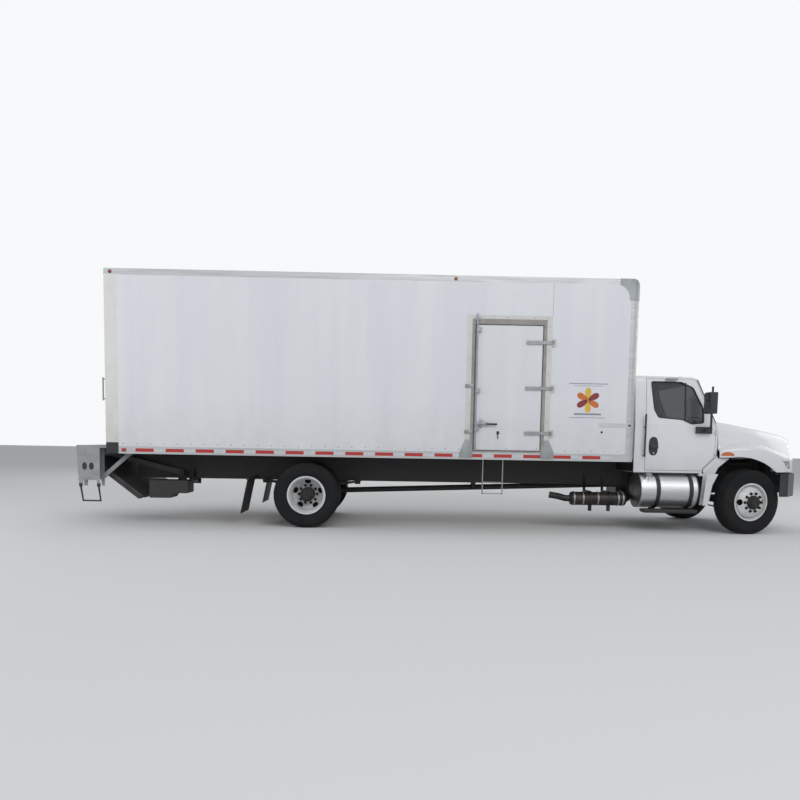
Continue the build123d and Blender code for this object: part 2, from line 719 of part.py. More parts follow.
with BuildPart() as side_door:
    block(door_rear, door_front, -box_half + 3, -wall_inner, door_low, door_high)
side_door.part.label = "side_door"

# Straps, lock rod and handle carried by the side door
strap_face = -box_half - 12
bar_x = door_rear + 20
bar_y = -box_half - 32
with BuildPart() as side_door_hardware:
    for z in strap_heights:
        block(door_front - 250, door_front - 5, strap_face, -box_half + 3, z - 26, z + 26)
        block(door_front - 5, hinge_x, strap_face - 8, strap_face, z - 26, z + 26)
        block(door_front - 250, door_front - 5, strap_face - 8, strap_face, z - 26, z + 26)
        rod((hinge_x, hinge_y, z - 31.7), (hinge_x, hinge_y, z + 31.7), 16)
        rod((hinge_x, hinge_y, z - 40), (hinge_x, hinge_y, z + 40), hinge_pin + running_gap,
            Mode.SUBTRACT)
    rod((bar_x, bar_y, door_low - 5), (bar_x, bar_y, door_high + 160), 13)
    for z in (1590, 2160, door_high - 80):
        block(bar_x - 16, bar_x + 60, bar_y - 16, -box_half + 3, z - 30, z + 30)
    rod((bar_x, bar_y - 10, 1654), (bar_x + 330, bar_y - 10, 1654), 10)
    block(bar_x + 150, bar_x + 190, bar_y - 14, -box_half + 3, 1630, 1680)
    block(bar_x - 14, bar_x + 30, bar_y - 22, bar_y + 10, 1634, 1674)
side_door_hardware.part.label = "side_door_hardware"

# Stirrup step below the side door
with BuildPart() as side_step:
    for x in (door_rear + 163, door_rear + 472):
        rod((x, -box_half + 60, 570), (x, -box_half + 60, box_bottom + 12), 10)
        block(x - 20, x + 20, -box_half + 45, -wall_inner + 40, box_bottom + 2, box_bottom + 12)
    for z in (582, 760):
        block(door_rear + 163, door_rear + 472, -box_half + 45, -box_half + 85, z - 5, z + 5)
side_step.part.label = "side_step"

# Grab handles on the rear posts and the cab's rear corners
with BuildPart() as grab_handles:
    for side in (-1, 1):
        y = side * (box_half - 30)
        rod((box_rear - 42, y, 1913), (box_rear - 42, y, 2258), 12)
        for z in (1937, 2234):
            rod((box_rear - 42, y, z), (box_rear, y, z), 9)
        x = cab_rear + 148
        y = side * (cab_half_width + 52)
        rod((x, y, 1190), (x, y, 1860), 14)
        for z in (1215, 1660):
            rod((x, side * cab_half_width, z), (x, y, z), 11)
grab_handles.part.label = "grab_handles"

# Cab outlines, measured from the cab's rear wall and from the ground
belt = 1690
lean = 75
glass_foot = (1290, 1731)
glass_head = (996, 2433)
cab_side = [(cab_rear + x, z) for x, z in (
    (0, cab_bottom), (1090, cab_bottom), (1107, 1014), (1320, 1224), (1320, belt), glass_foot,
    glass_head, (922, 2462), (0, cab_roof))]
cab_front = ((-cab_half_width, cab_bottom), (-cab_half_width, belt), (lean - cab_half_width, 2400),
             (160 - cab_half_width, cab_roof), (cab_half_width - 160, cab_roof),
             (cab_half_width - lean, 2400), (cab_half_width, belt), (cab_half_width, cab_bottom))
door_outline = [(cab_rear + x, z) for x, z in (
    (cab_door_rear, 985), (1075, 985), (1095, 1014), (1285, 1210), (1285, 1695), (1252, 1722),
    (963, 2405), (900, 2425), (cab_door_rear, 2425))]
window_outline = [(cab_rear + x, z) for x, z in (
    (253, 2378), (732, 2375), (919, 2289), (1082, 1956), (1087, 1740), (899, 1719), (749, 1788),
    (370, 1817), (304, 1942))]


def cab_solid(inset):
    """The cab's outer form, or its inside when inset by the skin."""
    with BuildPart() as form:
        with BuildSketch(Plane.XZ) as side_view:
            Polygon(*cab_side, align=None)
            offset(amount=-inset, kind=Kind.INTERSECTION)
        extrude(amount=cab_half_width - inset, both=True)
        with BuildSketch(Plane.YZ.offset(cab_rear - 50)) as front_view:
            Polygon(*cab_front, align=None)
            fillet(front_view.vertices().group_by(Axis.Y)[-1], 60)
            offset(amount=-inset, kind=Kind.INTERSECTION)
        extrude(amount=1500, mode=Mode.INTERSECT)
    return form.part


def door_prism(side, grow=0):
    """Block through the cab's side with the outline of a door."""
    near, far = sorted((side * (cab_half_width - 170), side * (cab_half_width + 60)))
    with BuildPart() as prism:
        with BuildSketch(Plane.XZ.offset(-far)) as outline:
            Polygon(*door_outline, align=None)
            if grow:
                offset(amount=grow, kind=Kind.INTERSECTION)
        extrude(amount=far - near)
        deep = cab_half_width - cab_skin - 2
        with BuildSketch(Plane.YZ.offset(cab_rear)) as layer:
            Polygon((side * deep, 900), (side * deep, belt), (side * (deep - lean * 1.05), 2435),
                    (side * (cab_half_width + 60), 2435), (side * (cab_half_width + 60), 900), align=None)
        extrude(layer.sketch, amount=1400, mode=Mode.INTERSECT)
    return prism.part


def window_prism(side):
    """Block through the cab's side with the outline of a door window."""
    near, far = sorted((side * (cab_half_width - 170), side * (cab_half_width + 60)))
    with BuildPart() as prism:
        with BuildSketch(Plane.XZ.offset(-far)) as outline:
            Polygon(*window_outline, align=None)
            fillet(outline.vertices(), 22)
        extrude(amount=far - near)
    return prism.part


glass_run = sqrt((glass_foot[0] - glass_head[0]) ** 2 + (glass_head[1] - glass_foot[1]) ** 2)
glass_rise = (glass_head[1] - glass_foot[1]) / glass_run
glass_back = (glass_foot[0] - glass_head[0]) / glass_run
screen_plane = Plane(
    origin=(cab_rear + (glass_foot[0] + glass_head[0]) / 2, 0, (glass_foot[1] + glass_head[1]) / 2),
    x_dir=(0, 1, 0), z_dir=(glass_rise, 0, glass_back))
screen_outline = ((-870, -310), (870, -310), (800, 320), (-800, 320))
tunnel_half = frame_half_width + 20
cab_floor = cab_bottom + 60
door_hinge_x = cab_rear + 1293
door_hinge_y = cab_half_width + 15
door_hinges = (1240, 1560)
cab_outer = cab_solid(0)
cab_void = cab_solid(cab_skin)

with BuildPart() as cab_shell:
    add(cab_outer)
    add(cab_void, mode=Mode.SUBTRACT)
    for side in (-1, 1):
        add(door_prism(side, panel_gap), mode=Mode.SUBTRACT)
    with BuildSketch(screen_plane) as screen_hole:
        Polygon(*screen_outline, align=None)
        fillet(screen_hole.vertices(), 70)
    extrude(screen_hole.sketch, amount=90, both=True, mode=Mode.SUBTRACT)
    with BuildSketch(Plane.YZ.offset(cab_rear)) as back_hole:
        with Locations((0, 2010)):
            RectangleRounded(900, 420, 60)
    extrude(back_hole.sketch, amount=cab_skin, mode=Mode.SUBTRACT)
    block(cab_rear + 20, cab_rear + 1090, -tunnel_half - 40, tunnel_half + 40, cab_bottom + 10, cab_floor)
    block(cab_rear - 10, cab_rear + 1400, -tunnel_half, tunnel_half, cab_bottom - 10, frame_top + 8,
          mode=Mode.SUBTRACT)
    for x in (150, 1000):
        for side in (-1, 1):
            block(cab_rear + x - 50, cab_rear + x + 50, side * (frame_half_width - frame_flange),
                  side * frame_half_width, frame_top, frame_top + 8)
    for side in (-1, 1):
        inner, outer = sorted((side * (cab_half_width - 4), side * (door_hinge_y + 5)))
        y = side * door_hinge_y
        for z in door_hinges:
            rod((door_hinge_x, y, z), (door_hinge_x, y, z + 60), 5)
            for low in (z, z + 45):
                rod((door_hinge_x, y, low), (door_hinge_x, y, low + 15), 9)
                block(door_hinge_x + 2, door_hinge_x + 20, inner, outer, low, low + 15)
cab_shell.part.label = "cab_shell"

with BuildPart() as cab_glass:
    with BuildSketch(screen_plane.offset(-20)) as screen:
        Polygon(*screen_outline, align=None)
        fillet(screen.vertices(), 70)
    extrude(screen.sketch, amount=6)
    with BuildSketch(Plane.YZ.offset(cab_rear + 16)) as back_pane:
        with Locations((0, 2010)):
            RectangleRounded(900, 420, 60)
    extrude(back_pane.sketch, amount=6)
cab_glass.part.label = "cab_glass"


def door_part(side):
    """Cab door as one thickness of the cab's side, with its window open."""
    with BuildPart() as door:
        add(cab_outer)
        add(door_prism(side), mode=Mode.INTERSECT)
        add(cab_void, mode=Mode.SUBTRACT)
        add(window_prism(side), mode=Mode.SUBTRACT)
        y = side * cab_half_width
        block(cab_rear + 245, cab_rear + 375, y, y + side * 14, 1330, 1380)
        inner, outer = sorted((side * (cab_half_width - 4), side * (door_hinge_y + 5)))
        y = side * door_hinge_y
        for z in door_hinges:
            rod((door_hinge_x, y, z + 16), (door_hinge_x, y, z + 44), 9)
            block(door_hinge_x - 30, door_hinge_x - 2, inner, outer, z + 16, z + 44)
            rod((door_hinge_x, y, z + 15), (door_hinge_x, y, z + 45), 5 + running_gap, Mode.SUBTRACT)
    return door.part


def pane_part(side):
    """Door glass inside the window, leaning with the cab's side."""
    tilt = lean / (2400 - belt)
    with BuildPart() as pane:
        strip = []
        for z, depth in ((1660, 14), (2420, 14), (2420, 20), (1660, 20)):
            strip.append((side * (cab_half_width - depth - (z - belt) * tilt), z))
        with BuildSketch(Plane.YZ.offset(cab_rear + 200)) as layer:
            Polygon(*strip, align=None)
        extrude(layer.sketch, amount=950)
        add(window_prism(side), mode=Mode.INTERSECT)
    return pane.part


def mirror_part(side):
    """Door mirror: foot, arm and head."""
    x = cab_rear + 1060
    y = side * cab_half_width
    out = side * (cab_half_width + 270)
    with BuildPart() as mirror_body:
        block(x - 100, x + 140, y, y + side * 60, 1570, 1675)
        rod((x + 20, y + side * 50, 1625), (x + 20, out, 1660), 20)
        rod((x + 20, out, 1650), (x + 20, out, 2290), 16)
        plan_plate(((x - 60, out - 100), (x + 70, out - 100), (x + 70, out + 100),
                    (x - 60, out + 100)), 1875, 2200, 30)
    return mirror_body.part


door_right = door_part(-1)
door_right.label = "door_right"
door_left = door_part(1)
door_left.label = "door_left"
door_glass_right = pane_part(-1)
door_glass_right.label = "door_glass_right"
door_glass_left = pane_part(1)
door_glass_left.label = "door_glass_left"
mirror_right = mirror_part(-1)
mirror_right.label = "mirror_right"
mirror_left = mirror_part(1)
mirror_left.label = "mirror_left"

# Cab interior: seats, dashboard and steering wheel
seat_rows = ((520, 500), (-420, 900))
with BuildPart() as seats:
    for y, width in seat_rows:
        x = cab_rear + 150
        block(x + 120, x + 500, y - width / 2 + 60, y + width / 2 - 60, cab_floor, 1290)
        block(x + 60, x + 570, y - width / 2, y + width / 2, 1290, 1420)
        back = ((x + 60, 1400), (x + 180, 1400), (x + 80, 2020), (x - 20, 2020))
        side_plate(back, y - width / 2, y + width / 2, 30)
        head = ((x - 20, 2010), (x + 70, 2010), (x + 60, 2200), (x - 20, 2200))
        side_plate(head, y - 140, y + 140, 20)
seats.part.label = "seats"

wheel_hub = Vector(cab_rear + 850, 520, 1640)
wheel_axis = Vector(-0.7, 0, 0.714)
with BuildPart() as dashboard:
    dash = ((cab_rear + 1320 - cab_skin, 1280), (cab_rear + 1320 - cab_skin, 1655),
            (cab_rear + 1245, 1690), (cab_rear + 1130, 1700),
            (cab_rear + 1000, 1600), (cab_rear + 1030, 1420), (cab_rear + 1120, 1280))
    side_plate(dash, -cab_half_width + cab_skin + 60, cab_half_width - cab_skin - 60, 15)
    rod(tuple(wheel_hub - wheel_axis * 330), tuple(wheel_hub - wheel_axis * 60), 34)
    rod(tuple(wheel_hub - wheel_axis * 60), tuple(wheel_hub), 26)
    wheel_face = Plane(origin=wheel_hub, z_dir=wheel_axis)
    with BuildSketch(wheel_face.offset(-6)) as spokes:
        Circle(60)
        for angle in (90, 210, 330):
            with Locations(Location((0, 0, 0), angle)):
                with Locations((110, 0)):
                    Rectangle(220, 34)
    extrude(spokes.sketch, amount=12)
    with BuildSketch(Plane(origin=wheel_face.origin + wheel_face.x_dir * 220,
                           x_dir=wheel_face.x_dir, z_dir=wheel_face.y_dir)) as rim:
        Circle(16)
    revolve(rim.sketch, axis=Axis(wheel_face.origin, wheel_face.z_dir))
dashboard.part.label = "dashboard"

# Hood sections: station, fender half width and crown, valley, shoulder, top edge, centre
hood_rows = (
    (0, 1110, 1340, 1035, 1375, 1000, 1640, 870, 1765, 1805),
    (360, 1200, 1392, 985, 1420, 925, 1600, 790, 1718, 1765),
    (760, 1205, 1335, 930, 1365, 840, 1545, 700, 1655, 1700),
    (1080, 1165, 1215, 880, 1270, 760, 1470, 620, 1598, 1640),
    (1420, 1000, 1100, 800, 1170, 660, 1370, 540, 1490, 1530),
)
hood_foot = 985
nose_side = ((hood_rear - 75, 880), (hood_rear - 75, 1900), (hood_rear + 1160, 1900),
             (hood_rear + 1305, 1585), (hood_rear + 1378, 1500), (hood_rear + 1403, 1373),
             (hood_rear + 1365, hood_foot), (hood_rear + 1360, 880))


def hood_section(row, inset, shift):
    """One cross section of the hood and fenders."""
    x, wide, crown, valley_y, valley_z, shoulder_y, shoulder_z, top_y, top_z, centre = row
    right = [(-(wide - inset), 850), (-(wide - inset), crown - 75 - inset),
             (-(wide - 22 - inset), crown - 22 - inset), (-(wide - 75 - inset), crown - inset),
             (-(valley_y - inset), valley_z - inset), (-(shoulder_y - inset), shoulder_z - inset),
             (-((shoulder_y * 0.4 + top_y * 0.6) + 12 - inset), shoulder_z * 0.35 + top_z * 0.65 - inset),
             (-(top_y - inset), top_z - inset)]
    left = [(-y, z) for y, z in right]
    with BuildSketch(Plane.YZ.offset(hood_rear + x + shift)) as section:
        with BuildLine():
            Line(right[0], right[1])
            ThreePointArc(right[1], right[2], right[3])
            Line(right[3], right[4])
            Line(right[4], right[5])
            ThreePointArc(right[5], right[6], right[7])
            ThreePointArc(right[7], (0, centre - inset), left[7])
            ThreePointArc(left[7], left[6], left[5])
            Line(left[5], left[4])
            Line(left[4], left[3])
            ThreePointArc(left[3], left[2], left[1])
            Line(left[1], left[0])
            Line(left[0], right[0])
        make_face()
    return section.sketch.face()


def hood_solid(inset):
    """The hood's outer form, or its inside when inset by the skin."""
    with BuildPart() as form:
        shifts = [0] * len(hood_rows)
        shifts[0] = -inset
        loft([hood_section(row, inset, shift) for row, shift in zip(hood_rows, shifts)])
        with BuildSketch(Plane.XY.offset(800)) as plan:
            with BuildLine():
                back = hood_rear - 75
                wide = 1206 - inset
                corner = (hood_rear + 1365 - inset, 620 - inset * 0.4)
                bend = (hood_rear + 1215 - inset * 0.75, 1000 - inset * 0.65)
                Line((back, -wide), (hood_rear + 930, -wide))
                ThreePointArc((hood_rear + 930, -wide), (bend[0], -bend[1]), (corner[0], -corner[1]))
                ThreePointArc((corner[0], -corner[1]), (hood_rear + 1410 - inset, 0), corner)
                ThreePointArc(corner, bend, (hood_rear + 930, wide))
                Line((hood_rear + 930, wide), (back, wide))
                Line((back, wide), (back, -wide))
            make_face()
        extrude(plan.sketch, amount=1200, mode=Mode.INTERSECT)
        with BuildSketch(Plane.XZ) as profile:
            Polygon(*nose_side, align=None)
            offset(amount=-inset, kind=Kind.INTERSECTION)
        extrude(profile.sketch, amount=1400, both=True, mode=Mode.INTERSECT)
    return form.part


hood_outer = hood_solid(0)
hood_void = hood_solid(hood_skin)
lamp_outline = [(hood_rear + x, z) for x, z in ((950, 1172), (1108, 1158), (1150, 1036), (1060, 1050))]
grille_half = 440
grille_low = 1040
grille_high = 1385


def lamp_prism():
    """Blocks through both fender corners with the headlamp's outline."""
    with BuildPart() as prism:
        for near, far in ((-1300, -700), (700, 1300)):
            side_plate(lamp_outline, near, far)
    return prism.part


with BuildPart() as hood:
    add(hood_outer)
    add(hood_void, mode=Mode.SUBTRACT)
    block(hood_rear - 100, hood_rear + 1500, -1300, 1300, 800, hood_foot, mode=Mode.SUBTRACT)
    with BuildSketch(Plane.XZ.offset(-1300)) as arch:
        with BuildLine():
            Line((hood_rear - 50, 900), (hood_rear - 50, 1195))
            Line((hood_rear - 50, 1195), (hood_rear + 171, 1205))
            ThreePointArc((hood_rear + 171, 1205), (hood_rear + 611, 1148), (hood_rear + 868, 978))
            Line((hood_rear + 868, 978), (hood_rear + 868, 900))
            Line((hood_rear + 868, 900), (hood_rear - 50, 900))
        make_face()
    extrude(arch.sketch, amount=2600, mode=Mode.SUBTRACT)
    add(lamp_prism(), mode=Mode.SUBTRACT)
    block(hood_rear + 1250, hood_rear + 1500, -grille_half, grille_half, grille_low, grille_high,
          mode=Mode.SUBTRACT)
    arm_back = hood_pivot_x - 180
    for side in (-1, 1):
        near, far = sorted((side * (hood_arm_y - hood_arm_half), side * (hood_arm_y + hood_arm_half)))
        arm = ((hood_pivot_x, hood_pivot_z + 20), (hood_pivot_x - 145, hood_pivot_z + 70),
               (hood_pivot_x - 145, hood_foot + 8), (hood_rear + 1356, hood_foot + 8),
               (hood_rear + 1356, grille_low - 8), (arm_back, grille_low - 8),
               (arm_back, hood_pivot_z + 40), (hood_pivot_x, hood_pivot_z - 20))
        side_plate(arm, near, far)
        rod((hood_pivot_x, near, hood_pivot_z), (hood_pivot_x, far, hood_pivot_z), 24)
        rod((hood_pivot_x, near - 1, hood_pivot_z), (hood_pivot_x, far + 1, hood_pivot_z),
            hood_pin + running_gap, Mode.SUBTRACT)
hood.part.label = "hood"

with BuildPart() as headlamps:
    add(hood_outer)
    add(lamp_prism(), mode=Mode.INTERSECT)
    add(hood_void, mode=Mode.SUBTRACT)
headlamps.part.label = "headlamps"

with BuildPart() as grille:
    add(hood_outer)
    block(hood_rear + 1250, hood_rear + 1500, -grille_half, grille_half, grille_low, grille_high,
          mode=Mode.INTERSECT)
    add(hood_void, mode=Mode.SUBTRACT)
    for index in range(5):
        z = grille_low + 50 + index * 60
        block(hood_rear + 1250, hood_rear + 1500, 30 - grille_half, grille_half - 30, z - 20, z + 20,
              mode=Mode.SUBTRACT)
grille.part.label = "grille"

# Splash panels behind the front wheels
with BuildPart() as splash_panels:
    for side in (-1, 1):
        inner, outer = sorted((side * (cab_half_width + 25), side * (cab_half_width + 55)))
        panel = ((cowl, 1187), (hood_rear + 171, 1187), (hood_rear - 3, 1038), (hood_rear - 135, 756),
                 (hood_rear - 185, 453), (hood_rear - 270, 440), (hood_rear - 223, 960),
                 (hood_rear - 120, 1034))
        side_plate(panel, inner, outer)
        inner, outer = sorted((side * (cab_half_width + 150), side * (cab_half_width + 168)))
        side_plate(((hood_rear - 50, 940), (hood_rear - 135, 756), (hood_rear - 185, 453),
                    (hood_rear - 270, 440), (hood_rear - 225, 940)), inner, outer)
        inner, outer = sorted((side * (cab_half_width + 50), side * (cab_half_width + 155)))
        side_plate(((hood_rear - 135, 756), (hood_rear - 185, 453), (hood_rear - 197, 453),
                    (hood_rear - 147, 756)), inner, outer)
        inner, outer = sorted((side * (cab_half_width - 60), side * (cab_half_width + 30)))
        side_plate(((hood_rear - 290, 900), (hood_rear - 215, 900), (hood_rear - 215, cab_bottom),
                    (hood_rear - 290, cab_bottom)), inner, outer)
splash_panels.part.label = "splash_panels"

# Lift gate: fixed steps with their loops and braces, and the extension plate
step_inner = platform_half_width + 40
step_outer = box_half - 135
slot_rear = rear_end + 125
with BuildPart() as lift_frame:
    block(rear_end, slot_rear, -step_outer, -step_inner, plate_top - 37, plate_top)
    block(rear_end, slot_rear, step_inner, step_outer, plate_top - 37, plate_top)
    block(slot_rear, box_rear, -step_outer, step_outer, plate_top - 37, plate_top)
    for side in (-1, 1):
        inner, outer = sorted((side * (step_outer - 10), side * step_outer))
        wall = ((rear_end, plate_top - 37), (rear_end + 30, 590), (rear_end + 80, 590),
                (rear_end + 90, 690), (rear_end + 300, 690), (rear_end + 310, 590),
                (rear_end + 350, 590), (rear_end + 355, plate_top - 37))
        side_plate(wall, inner, outer)
        inner, outer = sorted((side * step_inner, side * (step_inner + 10)))
        side_plate(wall, inner, outer)
        for z in (690, 940):
            block(rear_end + 12, rear_end + 250, side * step_inner, side * step_outer, z, z + 20)
        y = side * (step_outer - 5)
        for top_x, low_x in ((rear_end + 55, rear_end + 90), (rear_end + 330, rear_end + 360)):
            rod((top_x, y, 588), (low_x, y, 369), 12)
        rod((rear_end + 90, y, 369), (rear_end + 360, y, 369), 12)
        for low_x in (rear_end + 90, rear_end + 360):
            with Locations((low_x, y, 369)):
                Sphere(12)
        inner, outer = sorted((side * (step_inner + 16), side * (step_inner + 60)))
        brace = ((rear_end + 356, 700), (rear_end + 356, 780), (rear_end + 740, sill_top),
                 (rear_end + 830, sill_top))
        side_plate(brace, inner, outer)
lift_frame.part.label = "lift_frame"

# Arms of the lift gate
with BuildPart() as lift_arms:
    for side in (-1, 1):
        near, far = sorted((side * (arm_y - arm_half), side * (arm_y + arm_half)))
        up = Vector(sin(radians(arm_angle)), 0, cos(radians(arm_angle)))
        foot = Vector(pivot_x, 0, pivot_z)
        head = Vector(carriage_x, 0, carriage_z)
        corners = (foot + up * 45, head + up * 34, head - up * 34, foot - up * 45)
        side_plate([(corner.X, corner.Z) for corner in corners], near, far)
        rod((pivot_x, near, pivot_z), (pivot_x, far, pivot_z), 58)
        rod((carriage_x, near, carriage_z), (carriage_x, far, carriage_z), 38)
        rod((pivot_x, near, pivot_z), (pivot_x, far, pivot_z), pivot_radius + running_gap,
            Mode.SUBTRACT)
        rod((carriage_x, near, carriage_z), (carriage_x, far, carriage_z),
            carriage_pin + running_gap, Mode.SUBTRACT)
lift_arms.part.label = "lift_arms"

# Carriage: a cross beam between the arms, two ears and the platform's hinge rod
ear_y = arm_y - arm_half - 1
fold_x = carriage_x - 48
fold_z = carriage_z + 7
fold_pin = 9
with BuildPart() as lift_carriage:
    rod((carriage_x, -ear_y, carriage_z), (carriage_x, ear_y, carriage_z), 24)
    rod((fold_x, -ear_y, fold_z), (fold_x, ear_y, fold_z), fold_pin)
    block(carriage_x - 8, carriage_x + 172, -ear_y, ear_y, carriage_z - 28, carriage_z + 44)
    for side in (-1, 1):
        near, far = sorted((side * (ear_y - 15), side * ear_y))
        rod((carriage_x, near, carriage_z), (carriage_x, far, carriage_z), 32)
        rod((fold_x, near, fold_z), (fold_x, far, fold_z), 15)
        side_plate(((fold_x, fold_z - 15), (carriage_x, carriage_z - 30), (carriage_x, carriage_z + 30),
                    (fold_x, fold_z + 15)), near, far)
        rod((carriage_x, side * ear_y, carriage_z), (carriage_x, side * (arm_y + arm_half), carriage_z),
            carriage_pin)
lift_carriage.part.label = "lift_carriage"

# Platform and flap, folded against each other under the body
run = Vector(cos(radians(stow_angle)), 0, -sin(radians(stow_angle)))
load_side = Vector(-sin(radians(stow_angle)), 0, -cos(radians(stow_angle)))
fold = Vector(fold_x, 0, fold_z)
deck_gap = 35
hinge_set = platform_length + 8


def folded(outline, y0, y1, mode=Mode.ADD):
    """Extrude an outline given along the folded platform and off its face."""
    points = [fold + run * along + load_side * off for along, off in outline]
    side_plate([(point.X, point.Z) for point in points], y0, y1, 0, mode)


def at_fold(along, off, y):
    """Point on the folded platform."""
    point = fold + run * along + load_side * off
    return (point.X, y, point.Z)


deck_top = deck_gap + platform_thickness
flap_hinge = deck_top + 3
flap_pin = 8
with BuildPart() as lift_platform:
    folded(((30, deck_gap), (platform_length, deck_gap + 18), (platform_length, deck_top),
            (30, deck_top)), -platform_half_width, platform_half_width)
    for y in (-400, -130, 130, 400):
        folded(((-14, 6), (4, -8), (40, deck_gap + 2), (30, deck_top)), y - 20, y + 20)
        rod(at_fold(0, 0, y - 20), at_fold(0, 0, y + 20), 17)
        rod(at_fold(0, 0, y - 21), at_fold(0, 0, y + 21), fold_pin + running_gap, Mode.SUBTRACT)
    for side in (-1, 1):
        for y in (side * 250, side * 700):
            folded(((platform_length - 18, deck_gap), (hinge_set + 30, deck_gap),
                    (hinge_set + 30, deck_top + 30), (platform_length - 18, deck_top + 30)),
                   y - 66, y + 66, Mode.SUBTRACT)
            folded(((platform_length - 40, deck_gap + 20), (hinge_set, flap_hinge - 14),
                    (hinge_set, flap_hinge), (platform_length - 40, deck_top)), y - 25, y + 25)
            rod(at_fold(hinge_set, flap_hinge, y - 25), at_fold(hinge_set, flap_hinge, y + 25), 14)
            rod(at_fold(hinge_set, flap_hinge, y - 60), at_fold(hinge_set, flap_hinge, y + 60), flap_pin)
lift_platform.part.label = "lift_platform"

flap_low = deck_top + 6
flap_high = flap_low + flap_thickness
with BuildPart() as lift_flap:
    folded(((110, flap_low), (platform_length - 16, flap_low), (platform_length - 16, flap_high),
            (110, flap_high - 25)), -platform_half_width, platform_half_width)
    for side in (-1, 1):
        for middle in (side * 250, side * 700):
            folded(((platform_length - 40, flap_low - 2), (platform_length + 6, flap_low - 2),
                    (platform_length + 6, flap_high), (platform_length - 40, flap_high)),
                   middle - 32, middle + 32, Mode.SUBTRACT)
            for y in (middle - 46, middle + 46):
                folded(((platform_length - 40, flap_low), (hinge_set + 2, flap_low + 6),
                        (hinge_set + 2, flap_low + 18), (platform_length - 40, flap_high - 8)),
                       y - 13, y + 13)
                rod(at_fold(hinge_set, flap_hinge, y - 13), at_fold(hinge_set, flap_hinge, y + 13), 16)
                rod(at_fold(hinge_set, flap_hinge, y - 14), at_fold(hinge_set, flap_hinge, y + 14),
                    flap_pin + running_gap, Mode.SUBTRACT)
lift_flap.part.label = "lift_flap"

# Enclosure of the hydraulic pump under the frame
with BuildPart() as pump_box:
    side_plate(((pivot_x - 370, 410), (pivot_x - 40, 410), (pivot_x + 10, 488), (pivot_x + 230, 488),
                (pivot_x + 230, 690), (pivot_x - 370, 690)), -960, -610, 12)
    block(pivot_x + 180, pivot_x + 225, -700, -frame_half_width, 690, 720)
    block(pivot_x + 180, pivot_x + 225, -frame_half_width - 10, -frame_half_width, 690, frame_top - 40)
pump_box.part.label = "pump_box"

solids = (
    chassis_frame.part, leaf_springs.part, front_axle_beam.part, knuckle_right, knuckle_left,
    tie_rod.part, front_tyre_right, front_tyre_left, front_wheel_right, front_wheel_left,
    rear_axle_housing.part, rear_wheels_right, rear_wheels_left, rear_tyres_right, rear_tyres_left,
    engine.part, driveshaft.part, fuel_tank.part, tank_mounts.part, battery_box.part,
    exhaust_canister.part, mud_flaps.part, front_bumper.part, box_underframe.part, box_floor.part,
    wall_right.part, wall_left.part, wall_front.part, box_rails.part, corner_caps.part,
    box_roof.part, rear_frame.part, rollup_door.part, side_door_frame.part, side_door.part,
    side_door_hardware.part, side_step.part, grab_handles.part, cab_shell.part, cab_glass.part,
    door_right, door_left, door_glass_right, door_glass_left, mirror_right, mirror_left, seats.part,
    dashboard.part, hood.part, headlamps.part, grille.part, splash_panels.part, lift_frame.part,
    lift_arms.part, lift_carriage.part, lift_platform.part, lift_flap.part, pump_box.part,
)
os.makedirs("parts", exist_ok=True)
for solid in solids:
    export_step(solid, f"parts/{solid.label}.step")
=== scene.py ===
import json
from math import cos, pi, radians, sin, sqrt
import bmesh
import bpy
from mathutils import Matrix, Vector
from mathutils.bvhtree import BVHTree


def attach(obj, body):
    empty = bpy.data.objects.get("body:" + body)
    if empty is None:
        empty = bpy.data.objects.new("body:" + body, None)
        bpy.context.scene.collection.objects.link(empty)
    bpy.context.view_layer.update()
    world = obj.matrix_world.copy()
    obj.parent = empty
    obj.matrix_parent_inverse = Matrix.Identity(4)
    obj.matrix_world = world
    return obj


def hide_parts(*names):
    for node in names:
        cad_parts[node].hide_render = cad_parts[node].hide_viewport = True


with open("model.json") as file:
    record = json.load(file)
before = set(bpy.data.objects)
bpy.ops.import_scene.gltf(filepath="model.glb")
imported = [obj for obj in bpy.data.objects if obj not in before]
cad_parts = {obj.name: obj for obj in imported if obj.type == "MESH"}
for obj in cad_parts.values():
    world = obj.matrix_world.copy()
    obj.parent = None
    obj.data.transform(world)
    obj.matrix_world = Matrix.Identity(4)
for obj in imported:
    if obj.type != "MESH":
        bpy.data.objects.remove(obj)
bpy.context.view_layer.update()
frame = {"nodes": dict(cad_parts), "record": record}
nodes = frame["nodes"]
print("frame loaded", len(nodes), "parts")


def linked(name, data):
    obj = bpy.data.objects.new(name, data)
    bpy.context.scene.collection.objects.link(obj)
    return obj


def setInputs(tree, node, inputs):
    # Gives each input a value, or a link where the value is another node's output
    for key, value in inputs.items():
        if isinstance(value, bpy.types.NodeSocket):
            tree.links.new(value, node.inputs[key])
        else:
            node.inputs[key].default_value = value
    return node


def addNode(tree, kind, inputs=None, **settings):
    node = tree.nodes.new(kind)
    for key, value in settings.items():
        setattr(node, key, value)
    return setInputs(tree, node, inputs or {})


# The photograph's camera, as solved against the truck
camera = {
    "place": (-0.943, -11.953, 1.389), "yaw": -0.99, "pitch": -4.56, "roll": 0.99,
    "lens": 31.16, "shiftY": 0.119, "far": 300,
}


